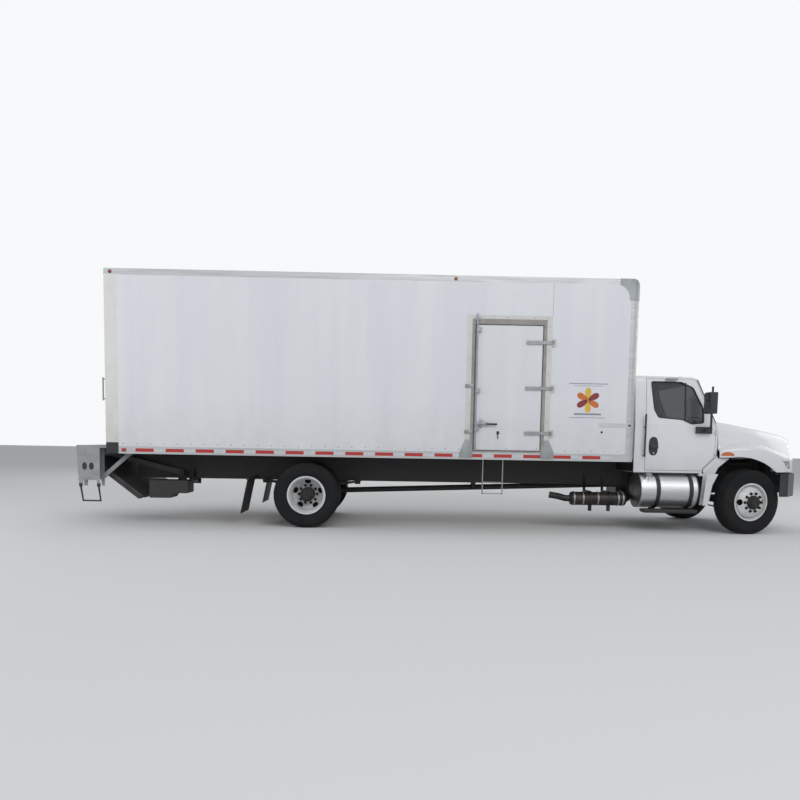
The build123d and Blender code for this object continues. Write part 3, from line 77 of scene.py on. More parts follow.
def placeCamera():
    yaw, pitch, roll = (radians(camera[key]) for key in ("yaw", "pitch", "roll"))
    ahead = Vector((-sin(yaw), cos(yaw), 0))
    right = Vector((cos(yaw), sin(yaw), 0))
    up = Vector((0, 0, 1))
    look = ahead * cos(pitch) + up * sin(pitch)
    lift = up * cos(pitch) - ahead * sin(pitch)
    across = right * cos(roll) + lift * sin(roll)
    lift = lift * cos(roll) - right * sin(roll)
    data = bpy.data.cameras.new("camera")
    data.lens = camera["lens"]
    data.sensor_width = 36
    data.shift_y = camera["shiftY"]
    data.clip_end = camera["far"]
    obj = linked("camera", data)
    turn = Matrix((across, lift, -look)).transposed().to_4x4()
    obj.matrix_world = Matrix.Translation(camera["place"]) @ turn
    bpy.context.scene.camera = obj


studio = {
    "sky": (0.93, 0.945, 0.96), "skyLight": 0.42, "floor": (0.80, 0.81, 0.82), "floorReach": 70,
    "lamps": {
        "key": {"place": (4, -15, 11), "aim": (0, 0, 1.6), "size": (14, 8), "power": 870},
        "fill": {"place": (-13, -7, 6), "aim": (-2, 0, 1.6), "size": (9, 7), "power": 380},
        "frontFill": {"place": (15, 2, 6), "aim": (3, 0, 1.4), "size": (8, 7), "power": 250},
        "back": {"place": (-2, 15, 10), "aim": (0, 0, 2), "size": (14, 7), "power": 470},
    },
}


def placeLamps():
    for name, lamp in studio["lamps"].items():
        data = bpy.data.lights.new(name, "AREA")
        data.shape = "RECTANGLE"
        data.size, data.size_y = lamp["size"]
        data.energy = lamp["power"]
        way = Vector(lamp["aim"]) - Vector(lamp["place"])
        turn = way.to_track_quat("-Z", "Y").to_matrix().to_4x4()
        linked(name, data).matrix_world = Matrix.Translation(lamp["place"]) @ turn


def placeSky():
    # The camera, metal and glass see a bright sky, and the truck is lit by a dimmer one
    world = bpy.data.worlds.new("studio")
    bpy.context.scene.world = world
    world.use_nodes = True
    tree = world.node_tree
    tree.nodes.clear()
    ray = addNode(tree, "ShaderNodeLightPath").outputs
    seen = addNode(tree, "ShaderNodeMath", {0: ray["Is Camera Ray"], 1: ray["Is Glossy Ray"]},
                   operation="MAXIMUM")
    seen = addNode(tree, "ShaderNodeMath", {0: seen.outputs[0], 1: ray["Is Transmission Ray"]},
                   operation="MAXIMUM")
    sky = (*studio["sky"], 1)
    dim = addNode(tree, "ShaderNodeBackground", {"Color": sky, "Strength": studio["skyLight"]})
    bright = addNode(tree, "ShaderNodeBackground", {"Color": sky, "Strength": 1})
    mix = addNode(tree, "ShaderNodeMixShader", {
        "Fac": seen.outputs[0], 1: dim.outputs[0], 2: bright.outputs[0]})
    addNode(tree, "ShaderNodeOutputWorld", {"Surface": mix.outputs[0]})


def newMaterial(name):
    material = bpy.data.materials.new(name)
    material.use_nodes = True
    return material, material.node_tree, material.node_tree.nodes["Principled BSDF"]


def placeFloor():
    reach = studio["floorReach"]
    mesh = bpy.data.meshes.new("floor")
    mesh.from_pydata([(-reach, -reach, 0), (reach, -reach, 0), (reach, reach, 0), (-reach, reach, 0)], [],
                     [(0, 1, 2, 3)])
    paving, tree, shader = newMaterial("paleFloor")
    setInputs(tree, shader, {
        "Base Color": (*studio["floor"], 1), "Roughness": 0.9, "Specular IOR Level": 0.1})
    mesh.materials.append(paving)
    floor = linked("floor", mesh)


placeCamera()
placeSky()
placeLamps()
placeFloor()
bpy.context.scene.view_settings.view_transform = "Standard"
print("studio ready")

# Each finish has two colours that change in patches of a given size, a range of roughness, and a fine
# grain with its bump. Some have metal, a clear coat, less shine, streaks, or grime as its lowest and
# highest place, its colour and its amount.
finishes = {
    "cabPaint": {"colour": (0.80, 0.82, 0.85), "second": (0.76, 0.78, 0.81), "patch": 0.9,
                 "rough": (0.22, 0.34), "coat": 0.6, "grain": 420, "bump": 0.015,
                 "grime": (0.45, 1.5, (0.42, 0.40, 0.37), 0.35)},
    "bodySheet": {"colour": (0.78, 0.80, 0.84), "second": (0.73, 0.75, 0.80), "patch": 0.55,
                  "rough": (0.34, 0.5), "coat": 0.15, "grain": 1.3, "bump": 0.25, "streak": (5, 5, 0.35),
                  "grime": (1.1, 2.0, (0.50, 0.49, 0.48), 0.28)},
    "doorSheet": {"colour": (0.77, 0.79, 0.83), "second": (0.72, 0.74, 0.78), "patch": 0.8,
                  "rough": (0.34, 0.5), "coat": 0.1, "grain": 2.2, "bump": 0.15, "streak": (6, 6, 0.5),
                  "grime": (1.1, 1.9, (0.50, 0.49, 0.48), 0.3)},
    "postPaint": {"colour": (0.78, 0.785, 0.77), "second": (0.72, 0.72, 0.69), "patch": 1.5,
                  "rough": (0.3, 0.5), "coat": 0.3, "grain": 300, "bump": 0.02,
                  "grime": (1.0, 2.2, (0.45, 0.43, 0.40), 0.35)},
    "railMetal": {"colour": (0.50, 0.51, 0.52), "second": (0.42, 0.43, 0.44), "patch": 2.5, "metal": 0.75,
                  "rough": (0.38, 0.6), "grain": 160, "bump": 0.05, "streak": (0.5, 9, 9)},
    "roofSkin": {"colour": (0.76, 0.77, 0.79), "second": (0.66, 0.67, 0.68), "patch": 1.1,
                 "rough": (0.4, 0.6), "grain": 2, "bump": 0.2},
    "framePaint": {"colour": (0.011, 0.012, 0.015), "second": (0.022, 0.022, 0.023), "patch": 3,
                   "rough": (0.45, 0.75), "grain": 90, "bump": 0.08,
                   "grime": (0.3, 1.1, (0.055, 0.05, 0.045), 0.3)},
    "castIron": {"colour": (0.026, 0.026, 0.028), "second": (0.055, 0.048, 0.042), "patch": 6,
                 "rough": (0.55, 0.8), "metal": 0.3, "grain": 120, "bump": 0.2},
    "engineBlock": {"colour": (0.055, 0.058, 0.062), "second": (0.04, 0.038, 0.036), "patch": 7,
                    "rough": (0.5, 0.75), "metal": 0.3, "grain": 60, "bump": 0.25},
    "tankMetal": {"colour": (0.60, 0.61, 0.625), "second": (0.50, 0.51, 0.525), "patch": 3, "metal": 0.85,
                  "rough": (0.30, 0.44), "grain": 70, "bump": 0.05, "streak": (0.6, 14, 14)},
    "zincSteel": {"colour": (0.33, 0.345, 0.37), "second": (0.25, 0.26, 0.27), "patch": 14, "metal": 0.65,
                  "rough": (0.35, 0.55), "grain": 200, "bump": 0.05},
    "rustSteel": {"colour": (0.024, 0.023, 0.022), "second": (0.060, 0.051, 0.044), "patch": 7, "metal": 0.6,
                  "rough": (0.35, 0.6), "grain": 120, "bump": 0.12},
    "framePost": {"colour": (0.69, 0.69, 0.675), "second": (0.61, 0.61, 0.59), "patch": 1.6,
                  "rough": (0.35, 0.5), "coat": 0.15, "grain": 260, "bump": 0.03,
                  "grime": (1.1, 2.0, (0.42, 0.40, 0.37), 0.3)},
    # Painted shade in the recess round the side door
    "reveal": {"colour": (0.34, 0.335, 0.315), "second": (0.26, 0.25, 0.23), "patch": 5,
               "rough": (0.5, 0.7), "grain": 180, "bump": 0.05},
    "capMetal": {"colour": (0.34, 0.365, 0.37), "second": (0.26, 0.28, 0.285), "patch": 5, "metal": 0.4,
                 "rough": (0.4, 0.6), "grain": 130, "bump": 0.12},
    "stepGrey": {"colour": (0.33, 0.35, 0.36), "second": (0.26, 0.27, 0.275), "patch": 6, "metal": 0.2,
                 "rough": (0.4, 0.65), "grain": 150, "bump": 0.08},
    # Painted shade and a painted dark reflection on the fuel tank's rear end, and the tank's seam rings
    "tankEndShadeAndSeams": {"colour": (0.13, 0.135, 0.14), "second": (0.09, 0.093, 0.096), "patch": 6, "metal": 0.6,
                "rough": (0.3, 0.5), "grain": 120, "bump": 0.05},
    "decalYellow": {"colour": (0.78, 0.50, 0.07), "second": (0.70, 0.43, 0.05), "patch": 12,
                    "rough": (0.35, 0.5), "grain": 300, "bump": 0.02},
    "decalOrange": {"colour": (0.66, 0.19, 0.045), "second": (0.58, 0.15, 0.035), "patch": 12,
                    "rough": (0.35, 0.5), "grain": 300, "bump": 0.02},
    "decalMaroon": {"colour": (0.27, 0.035, 0.04), "second": (0.21, 0.025, 0.03), "patch": 12,
                    "rough": (0.35, 0.5), "grain": 300, "bump": 0.02},
    "decalGrey": {"colour": (0.26, 0.28, 0.32), "second": (0.22, 0.24, 0.28), "patch": 12,
                  "rough": (0.35, 0.5), "grain": 300, "bump": 0.02},
    "wheelPaint": {"colour": (0.72, 0.735, 0.75), "second": (0.60, 0.60, 0.59), "patch": 9,
                   "rough": (0.35, 0.55), "coat": 0.3, "grain": 200, "bump": 0.03},
    # Hub iron, also used as painted shade on the inside of the wheel discs
    "hubIronAndShade": {"colour": (0.018, 0.019, 0.021), "second": (0.042, 0.037, 0.033), "patch": 18,
                "rough": (0.5, 0.75), "metal": 0.4, "grain": 150, "bump": 0.12},
    "treadRubber": {"colour": (0.010, 0.011, 0.013), "second": (0.019, 0.019, 0.019), "patch": 5,
                    "rough": (0.72, 0.92), "grain": 240, "bump": 0.1, "shine": 0.2},
    "trimRubber": {"colour": (0.014, 0.014, 0.015), "second": (0.025, 0.025, 0.026), "patch": 12,
                   "rough": (0.5, 0.7), "grain": 260, "bump": 0.05},
    "blackPlastic": {"colour": (0.022, 0.022, 0.024), "second": (0.035, 0.035, 0.037), "patch": 8,
                     "rough": (0.42, 0.6), "grain": 520, "bump": 0.08},
    "bumperPlastic": {"colour": (0.026, 0.030, 0.036), "second": (0.042, 0.046, 0.051), "patch": 4,
                      "rough": (0.38, 0.55), "grain": 460, "bump": 0.07, "shine": 0.35,
                      "grime": (0.5, 0.9, (0.10, 0.095, 0.09), 0.35)},
    "liftPaint": {"colour": (0.040, 0.042, 0.046), "second": (0.085, 0.08, 0.076), "patch": 5,
                  "rough": (0.45, 0.7), "metal": 0.25, "grain": 110, "bump": 0.1},
    "floorBoards": {"colour": (0.30, 0.18, 0.09), "second": (0.40, 0.26, 0.14), "patch": 4,
                    "rough": (0.5, 0.7), "grain": 60, "bump": 0.12, "streak": (0.8, 22, 22)},
    "dashGrain": {"colour": (0.07, 0.07, 0.075), "second": (0.09, 0.09, 0.093), "patch": 7,
                  "rough": (0.55, 0.7), "grain": 620, "bump": 0.12},
    "flapRubber": {"colour": (0.013, 0.013, 0.014), "second": (0.034, 0.032, 0.03), "patch": 5,
                   "rough": (0.6, 0.85), "grain": 80, "bump": 0.15},
    "grilleBlack": {"colour": (0.025, 0.026, 0.03), "second": (0.04, 0.04, 0.045), "patch": 10,
                    "rough": (0.3, 0.45), "grain": 300, "bump": 0.03},
    "brightTrim": {"colour": (0.70, 0.71, 0.72), "second": (0.60, 0.61, 0.62), "patch": 10, "metal": 1.0,
                   "rough": (0.08, 0.2), "grain": 90, "bump": 0.01},
    "redLens": {"colour": (0.42, 0.012, 0.012), "second": (0.30, 0.008, 0.010), "patch": 60,
                "rough": (0.12, 0.2), "coat": 0.6, "grain": 380, "bump": 0.12},
    "amberLens": {"colour": (0.64, 0.17, 0.03), "second": (0.48, 0.11, 0.015), "patch": 60,
                  "rough": (0.12, 0.2), "coat": 0.6, "grain": 380, "bump": 0.12},
    "clearLens": {"colour": (0.80, 0.82, 0.84), "second": (0.68, 0.70, 0.73), "patch": 60,
                  "rough": (0.08, 0.16), "coat": 0.6, "grain": 380, "bump": 0.1},
    "redTape": {"colour": (0.50, 0.035, 0.035), "second": (0.40, 0.03, 0.03), "patch": 30,
                "rough": (0.25, 0.4), "grain": 320, "bump": 0.1},
    "silverTape": {"colour": (0.62, 0.64, 0.66), "second": (0.52, 0.54, 0.57), "patch": 30, "metal": 0.3,
                   "rough": (0.25, 0.4), "grain": 320, "bump": 0.1},
    "mirrorGlass": {"colour": (0.80, 0.82, 0.84), "second": (0.74, 0.76, 0.79), "patch": 3, "metal": 1.0,
                    "rough": (0.02, 0.05), "grain": 3, "bump": 0.002},
    "seatCloth": {"colour": (0.075, 0.078, 0.085), "second": (0.13, 0.133, 0.14), "patch": 26,
                  "rough": (0.8, 0.95), "grain": 760, "bump": 0.3},
    "palePlastic": {"colour": (0.60, 0.61, 0.56), "second": (0.52, 0.53, 0.47), "patch": 7,
                    "rough": (0.4, 0.55), "grain": 300, "bump": 0.04},
    "sealant": {"colour": (0.30, 0.31, 0.32), "second": (0.24, 0.25, 0.26), "patch": 20,
                "rough": (0.5, 0.7), "grain": 200, "bump": 0.05},
}
glassLook = {
    "windowGlass": {"tint": (0.035, 0.045, 0.047), "clear": 0.52, "rough": 0.02},
    "lampGlass": {"tint": (0.92, 0.94, 0.96), "clear": 0.80, "rough": 0.04},
}
grainDepth = {"coarse": 0.02, "fine": 0.002, "from": 5}  # Bump distance, fine from this grain upwards
made = {}


def grimed(tree, place, colour, grime):
    # Dirt that settles towards the ground over a colour
    low, high, dirt, amount = grime
    height = addNode(tree, "ShaderNodeSeparateXYZ", {"Vector": place}).outputs["Z"]
    settled = addNode(tree, "ShaderNodeMapRange", {
        "Value": height, "From Min": high, "From Max": low, "To Max": amount * 2})
    dust = addNode(tree, "ShaderNodeTexNoise", {"Vector": place, "Scale": 6, "Detail": 8})
    spots = addNode(tree, "ShaderNodeMath", {0: settled.outputs["Result"], 1: dust.outputs["Fac"]},
                    operation="MULTIPLY")
    return addNode(tree, "ShaderNodeMix", {"Factor": spots.outputs["Value"], "A": colour, "B": (*dirt, 1)},
                   data_type="RGBA").outputs["Result"]


def opaqueFinish(name, look):
    material, tree, shader = newMaterial(name)
    place = addNode(tree, "ShaderNodeTexCoord").outputs["Object"]
    streaks = addNode(tree, "ShaderNodeMapping", {"Vector": place, "Scale": look.get("streak", (1, 1, 1))})
    patches = addNode(tree, "ShaderNodeTexNoise", {
        "Vector": streaks.outputs["Vector"], "Scale": look["patch"], "Detail": 5,
        "Roughness": 0.6}).outputs["Fac"]
    share = addNode(tree, "ShaderNodeMapRange", {"Value": patches, "From Min": 0.38, "From Max": 0.68})
    colour = addNode(tree, "ShaderNodeMix", {
        "Factor": share.outputs["Result"], "A": (*look["colour"], 1), "B": (*look["second"], 1)},
        data_type="RGBA").outputs["Result"]
    if "grime" in look:
        colour = grimed(tree, place, colour, look["grime"])
    low, high = look["rough"]
    rough = addNode(tree, "ShaderNodeMapRange", {"Value": patches, "To Min": low, "To Max": high})
    grain = addNode(tree, "ShaderNodeTexNoise", {"Vector": place, "Scale": look["grain"], "Detail": 3})
    depth = grainDepth["coarse"] if look["grain"] < grainDepth["from"] else grainDepth["fine"]
    bump = addNode(tree, "ShaderNodeBump", {
        "Height": grain.outputs["Fac"], "Strength": look["bump"], "Distance": depth})
    setInputs(tree, shader, {
        "Base Color": colour, "Roughness": rough.outputs["Result"], "Normal": bump.outputs["Normal"],
        "Metallic": look.get("metal", 0), "Coat Weight": look.get("coat", 0), "Coat Roughness": 0.06,
        "Specular IOR Level": look.get("shine", 0.5)})
    return material


def glassFinish(name, look):
    # Thin clear sheet: gloss on top of a see-through tint, a little dust on it
    material, tree, shader = newMaterial(name)
    place = addNode(tree, "ShaderNodeTexCoord").outputs["Object"]
    dust = addNode(tree, "ShaderNodeTexNoise", {"Vector": place, "Scale": 9, "Detail": 6})
    veil = addNode(tree, "ShaderNodeMapRange", {
        "Value": dust.outputs["Fac"], "To Min": 1 - look["clear"], "To Max": 1 - look["clear"] + 0.10})
    setInputs(tree, shader, {"Alpha": veil.outputs["Result"], "Base Color": (*look["tint"], 1),
                             "Roughness": look["rough"], "Coat Weight": 0.5})
    return material


def finish(name):
    # Each material is made once, when it is first asked for
    if name not in made:
        glass = name in glassLook
        made[name] = glassFinish(name, glassLook[name]) if glass else opaqueFinish(name, finishes[name])
    return made[name]


nodeFinish = {
    "cabPaint": "cab_shell door_right door_left hood splash_panels",
    "bodySheet": "wall_right wall_left wall_front",
    "doorSheet": "side_door rollup_door",
    "postPaint": "rear_frame",
    "railMetal": "box_rails",
    "framePost": "side_door_frame",
    "capMetal": "corner_caps",
    "roofSkin": "box_roof",
    "framePaint": "chassis_frame box_underframe pump_box",
    "castIron": "leaf_springs front_axle_beam knuckle_right knuckle_left tie_rod rear_axle_housing "
                "driveshaft",
    "engineBlock": "engine",
    "tankMetal": "fuel_tank",
    "rustSteel": "exhaust_canister",
    "zincSteel": "side_door_hardware side_step grab_handles",
    "wheelPaint": "front_wheel_right front_wheel_left rear_wheels_right rear_wheels_left",
    "treadRubber": "front_tyre_right front_tyre_left rear_tyres_right rear_tyres_left",
    "trimRubber": "tank_mounts",
    "blackPlastic": "battery_box mirror_right mirror_left",
    "bumperPlastic": "front_bumper",
    "liftPaint": "lift_frame lift_arms lift_carriage lift_platform lift_flap",
    "floorBoards": "box_floor",
    "dashGrain": "dashboard seats",
    "flapRubber": "mud_flaps",
    "grilleBlack": "grille",
    "windowGlass": "cab_glass door_glass_right door_glass_left",
    "lampGlass": "headlamps",
}
slotOf = {entry["node"]: entry["material_slot"] for entry in frame["record"]["subparts"]}
bodies = frame["record"]["behaviour"]["bodies"]
bodyOf = {node: body for body, members in bodies.items() for node in members}


def wear(obj, material):
    if not obj.material_slots:
        obj.data.materials.append(material)
    for place in obj.material_slots:
        place.material = material


for finishName, members in nodeFinish.items():
    for node in members.split():
        wear(nodes[node], finish(finishName))
print("finishes on the frame")


def asMesh(name, bm, merge=0.0):
    # A bmesh made a mesh, with its doubles merged and its faces turned outwards where asked
    mesh = bpy.data.meshes.new(name)
    if merge:
        bmesh.ops.remove_doubles(bm, verts=bm.verts, dist=merge)
        bmesh.ops.recalc_face_normals(bm, faces=bm.faces)
    bm.to_mesh(mesh)
    bm.free()
    return mesh


def changed(obj, kind, inputs=None, **settings):
    # An object's mesh after one modifier, which comes off again
    modifier = obj.modifiers.new("step", kind)
    for key, value in settings.items():
        setattr(modifier, key, value)
    for key, value in (inputs or {}).items():
        modifier[key] = value
    mesh = bpy.data.meshes.new_from_object(obj.evaluated_get(bpy.context.evaluated_depsgraph_get()))
    obj.modifiers.clear()
    return mesh


def reshaped(mesh, kind, inputs=None, **settings):
    # The same for a mesh without an object
    holder = linked("holder", mesh)
    result = changed(holder, kind, inputs, **settings)
    bpy.data.objects.remove(holder)
    return result


def dress(name, mesh, material, body, slot, smooth=0):
    # Makes a mesh a piece that rides on a body, shaded soft over edges flatter than the angle given
    if material:
        mesh.materials.clear()
        mesh.materials.append(material)
    obj = linked(name, mesh)
    if smooth:
        mesh.shade_smooth()
        mesh.set_sharp_from_angle(angle=radians(smooth))
    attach(obj, body)
    return obj


def asPiece(name, bm, coat, slot, body="chassis", smooth=40):
    # The same for a bmesh and the name of a finish
    return dress(name, asMesh(name, bm, 1e-6), finish(coat), body, slot, smooth)


# Soft copies of CAD parts: how close corners merge, what counts as flat and as sharp, in degrees,
# and how much the wide faces steer the shading
softLook = {"merge": 2e-5, "sliver": 1e-5, "flat": 0.3, "quad": 175, "sharp": 30, "weight": 80}


def pierced(mesh, cutter):
    # Takes the cutter's solids out of a closed mesh
    tool = linked("cutter", cutter)
    result = reshaped(mesh, "BOOLEAN", operation="DIFFERENCE", solver="EXACT", object=tool)
    bpy.data.objects.remove(tool)
    return result


def merged(node):
    bm = bmesh.new()
    bm.from_mesh(nodes[node].data)
    bmesh.ops.remove_doubles(bm, verts=bm.verts, dist=softLook["merge"])
    return bm


def smoothCopy(node, cutter=None):
    # A merged copy of a CAD part with soft shading over its curves, and holes where a cutter is given
    bm = merged(node)
    bmesh.ops.dissolve_degenerate(bm, dist=softLook["sliver"], edges=bm.edges)
    flat = radians(softLook["flat"])
    if cutter:
        bmesh.ops.join_triangles(bm, faces=bm.faces, angle_face_threshold=flat,
                                 angle_shape_threshold=radians(softLook["quad"]))
    else:
        bmesh.ops.dissolve_limit(bm, angle_limit=flat, verts=bm.verts, edges=bm.edges)
    mesh = asMesh(node + ".merged", bm)
    if cutter:
        mesh = pierced(mesh, cutter)
    mesh.shade_smooth()
    mesh.set_sharp_from_angle(angle=radians(softLook["sharp"]))
    mesh = reshaped(mesh, "WEIGHTED_NORMAL", keep_sharp=True, weight=softLook["weight"])
    obj = dress(node + ".soft", mesh, nodes[node].material_slots[0].material, bodyOf[node], slotOf[node])
    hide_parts(node)
    return obj


softNodes = ("hood", "cab_shell", "door_right", "door_left", "fuel_tank", "exhaust_canister", "corner_caps",
             "front_bumper", "mirror_right", "mirror_left", "headlamps", "rear_axle_housing", "grab_handles",
             "knuckle_right", "knuckle_left", "grille", "box_rails", "tank_mounts", "dashboard",
             "leaf_springs", "lift_frame", "lift_carriage", "lift_arms", "side_step", "tie_rod", "driveshaft",
             "engine", "rear_frame", "splash_panels", "battery_box", "pump_box")
soft = {node: smoothCopy(node) for node in softNodes}
print("soft shading on", len(soft), "parts")


def turns(count):
    # Equal turns of a full circle
    return [2 * pi * index / count for index in range(count)]


def frameFor(way):
    # Two directions square to a given one
    way = way.normalized()
    side = way.cross(Vector((0, 0, 1)))
    if side.length < 1e-3:
        side = way.cross(Vector((0, 1, 0)))
    side.normalize()
    return side, way.cross(side).normalized()


def boxOf(one, other):
    # Lower and upper corner of the box between two points
    return [min(pair) for pair in zip(one, other)], [max(pair) for pair in zip(one, other)]


def closed(bm, faces, bevel):
    # Turns the faces of a new solid outwards and breaks its edges where asked
    bmesh.ops.recalc_face_normals(bm, faces=faces)
    if bevel:
        edges = {edge for face in faces for edge in face.edges}
        bmesh.ops.bevel(bm, geom=list(edges), offset=bevel, segments=2, profile=0.6, affect="EDGES")


def addBox(bm, low, high, bevel=0.0):
    # Adds a box between two corners
    corners = [Vector((x, y, z)) for x in (low[0], high[0]) for y in (low[1], high[1])
               for z in (low[2], high[2])]
    verts = [bm.verts.new(corner) for corner in corners]
    sides = ((0, 1, 3, 2), (4, 6, 7, 5), (0, 4, 5, 1), (2, 3, 7, 6), (0, 2, 6, 4), (1, 5, 7, 3))
    closed(bm, [bm.faces.new([verts[index] for index in side]) for side in sides], bevel)


def addPrism(bm, outline, lift, bevel=0.0):
    # Adds a closed outline carried along a direction
    foot = [bm.verts.new(point) for point in outline]
    head = [bm.verts.new(Vector(point) + Vector(lift)) for point in outline]
    faces = [bm.faces.new(foot), bm.faces.new(list(reversed(head)))]
    for index in range(len(outline)):
        following = (index + 1) % len(outline)
        faces.append(bm.faces.new((foot[index], head[index], head[following], foot[following])))
    closed(bm, faces, bevel)


def addRing(bm, middle, side, other, radius, sides):
    return [bm.verts.new(middle + (side * cos(turn) + other * sin(turn)) * radius) for turn in turns(sides)]


def addTube(bm, path, radius, sides=12, loop=False):
    # Adds a round bar along points, capped unless it runs back into itself
    points = [Vector(point) for point in path]
    count = len(points)
    rings = []
    side = None
    for index, point in enumerate(points):
        before = points[index - 1] if index or loop else point
        after = points[(index + 1) % count] if index < count - 1 or loop else point
        way = (after - before).normalized()
        if side is None:
            side = frameFor(way)[0]
        side = (side - way * side.dot(way)).normalized()
        rings.append(addRing(bm, point, side, way.cross(side), radius, sides))
    for index in range(count if loop else count - 1):
        ring, nextRing = rings[index], rings[(index + 1) % count]
        for step in range(sides):
            after = (step + 1) % sides
            bm.faces.new((ring[step], ring[after], nextRing[after], nextRing[step]))
    if not loop:
        bm.faces.new(list(reversed(rings[0])))
        bm.faces.new(rings[-1])


def addTurned(bm, origin, axis, profile, sides=32):
    # Adds a solid of revolution from (radius, height) points along an axis
    origin, axis = Vector(origin), Vector(axis).normalized()
    side, other = frameFor(axis)
    rings = []
    for radius, height in profile:
        foot = origin + axis * height
        rings.append([bm.verts.new(foot)] if radius < 1e-6 else addRing(bm, foot, side, other, radius, sides))
    for ring, nextRing in zip(rings, rings[1:]):
        for step in range(sides):
            after = (step + 1) % sides
            corners = []
            for corner in (ring[step % len(ring)], ring[after % len(ring)],
                           nextRing[after % len(nextRing)], nextRing[step % len(nextRing)]):
                if corner not in corners:
                    corners.append(corner)
            if len(corners) > 2:
                bm.faces.new(corners)


def newTree(name, result, **sockets):
    # An empty node tree with named inputs, and those inputs' sockets
    tree = bpy.data.node_groups.new(name, "GeometryNodeTree")
    for label, kind in sockets.items():
        tree.interface.new_socket(label, in_out="INPUT", socket_type="NodeSocket" + kind)
    tree.interface.new_socket(result, in_out="OUTPUT", socket_type="NodeSocketGeometry")
    return tree, tree.nodes.new("NodeGroupInput").outputs


def repeated(tree, points, shape, **inputs):
    # Sets a shape on every point
    spread = addNode(tree, "GeometryNodeInstanceOnPoints", {"Points": points, "Instance": shape, **inputs})
    whole = addNode(tree, "GeometryNodeRealizeInstances", {"Geometry": spread.outputs["Instances"]})
    return whole.outputs["Geometry"]


def endTree(tree, shape, material):
    coat = addNode(tree, "GeometryNodeSetMaterial", {"Geometry": shape, "Material": material})
    addNode(tree, "NodeGroupOutput", {0: coat.outputs["Geometry"]})
    return tree


studShapes = {
    "dome": ("UVSphere", {"Segments": 8, "Rings": 5, "Radius": 1}),
    "hex": ("Cylinder", {"Vertices": 6, "Radius": 1, "Depth": 2}),
    "disc": ("Cylinder", {"Vertices": 16, "Radius": 1, "Depth": 2}),
}


def studTree(kind):
    # A small fastener on every point, facing the way the point says
    tree, given = newTree(kind + "Studs", "Studs", Points="Geometry", Radius="Float", Height="Float",
                          Finish="Material")
    primitive, inputs = studShapes[kind]
    shape = addNode(tree, "GeometryNodeMesh" + primitive, inputs)
    size = addNode(tree, "ShaderNodeCombineXYZ", {
        "X": given["Radius"], "Y": given["Radius"], "Z": given["Height"]})
    facing = addNode(tree, "GeometryNodeInputNamedAttribute", {"Name": "facing"}, data_type="FLOAT_VECTOR")
    turn = addNode(tree, "FunctionNodeAlignRotationToVector", {"Vector": facing.outputs["Attribute"]},
                   axis="Z")
    whole = repeated(tree, given["Points"], shape.outputs["Mesh"], Rotation=turn.outputs["Rotation"],
                     Scale=size.outputs["Vector"])
    return endTree(tree, whole, given["Finish"])


def ringTree():
    # A block repeated round an axle
    tree, given = newTree("blockRing", "Blocks", Start="Geometry", Count="Int", Radius="Float",
                          Along="Float", Phase="Float", Skew="Float", Size="Vector", Centre="Vector",
                          Turn="Vector", Finish="Material")
    circle = addNode(tree, "GeometryNodeMeshCircle", {"Vertices": given["Count"], "Radius": given["Radius"]})
    index = addNode(tree, "GeometryNodeInputIndex")
    share = addNode(tree, "ShaderNodeMath", {0: index.outputs["Index"], 1: given["Count"]},
                    operation="DIVIDE")
    angle = addNode(tree, "ShaderNodeMath", {0: share.outputs["Value"], 1: 2 * pi}, operation="MULTIPLY")
    turn = addNode(tree, "ShaderNodeCombineXYZ", {"X": given["Skew"], "Z": angle.outputs["Value"]})
    block = addNode(tree, "GeometryNodeMeshCube", {"Size": given["Size"]})
    whole = repeated(tree, circle.outputs["Mesh"], block.outputs["Mesh"], Rotation=turn.outputs["Vector"])
    shift = addNode(tree, "ShaderNodeCombineXYZ", {"Z": given["Along"]})
    spin = addNode(tree, "ShaderNodeCombineXYZ", {"Z": given["Phase"]})
    slid = addNode(tree, "GeometryNodeTransform", {
        "Geometry": whole, "Translation": shift.outputs["Vector"], "Rotation": spin.outputs["Vector"]})
    put = addNode(tree, "GeometryNodeTransform", {
        "Geometry": slid.outputs["Geometry"], "Translation": given["Centre"], "Rotation": given["Turn"]})
    return endTree(tree, put.outputs["Geometry"], given["Finish"])


def rowTree():
    # A block repeated along a straight line
    tree, given = newTree("blockRow", "Blocks", Start="Geometry", Count="Int", First="Vector", Step="Vector",
                          Size="Vector", Finish="Material")
    line = addNode(tree, "GeometryNodeMeshLine", {
        "Count": given["Count"], "Start Location": given["First"], "Offset": given["Step"]})
    block = addNode(tree, "GeometryNodeMeshCube", {"Size": given["Size"]})
    whole = repeated(tree, line.outputs["Mesh"], block.outputs["Mesh"])
    return endTree(tree, whole, given["Finish"])


trees = {kind: studTree(kind) for kind in studShapes}
trees["ring"] = ringTree()
trees["row"] = rowTree()


def grown(kind, start, settings):
    # What a tree makes of a mesh, with its named inputs set by their identifiers
    inputs = {item.identifier: settings[item.name] for item in trees[kind].interface.items_tree
              if item.in_out == "INPUT" and item.name in settings}
    return reshaped(start, "NODES", inputs, node_group=trees[kind])


def studs(name, kind, points, radius, height, coat, slot, body="chassis"):
    # Fasteners on (place, facing) pairs, as one piece
    start = bpy.data.meshes.new("points")
    start.from_pydata([tuple(place) for place, facing in points], [], [])
    ways = start.attributes.new("facing", "FLOAT_VECTOR", "POINT")
    ways.data.foreach_set("vector", [value for place, facing in points for value in facing])
    mesh = grown(kind, start, {"Radius": radius, "Height": height, "Finish": finish(coat)})
    return dress(name, mesh, None, body, slot, 40)


def blocks(name, kind, rows, coat, slot, body="chassis"):
    # Rows of equal blocks, each with its tree's inputs, as one piece
    bm = bmesh.new()
    for row in rows:
        bm.from_mesh(grown(kind, bpy.data.meshes.new("start"), {**row, "Finish": finish(coat)}))
    return dress(name, asMesh(name, bm), finish(coat), body, slot)


def blockRows(name, rows, coat, slot, body="chassis"):
    # Straight rows given as count, first middle, step and size
    labels = ("Count", "First", "Step", "Size")
    return blocks(name, "row", [dict(zip(labels, row)) for row in rows], coat, slot, body)


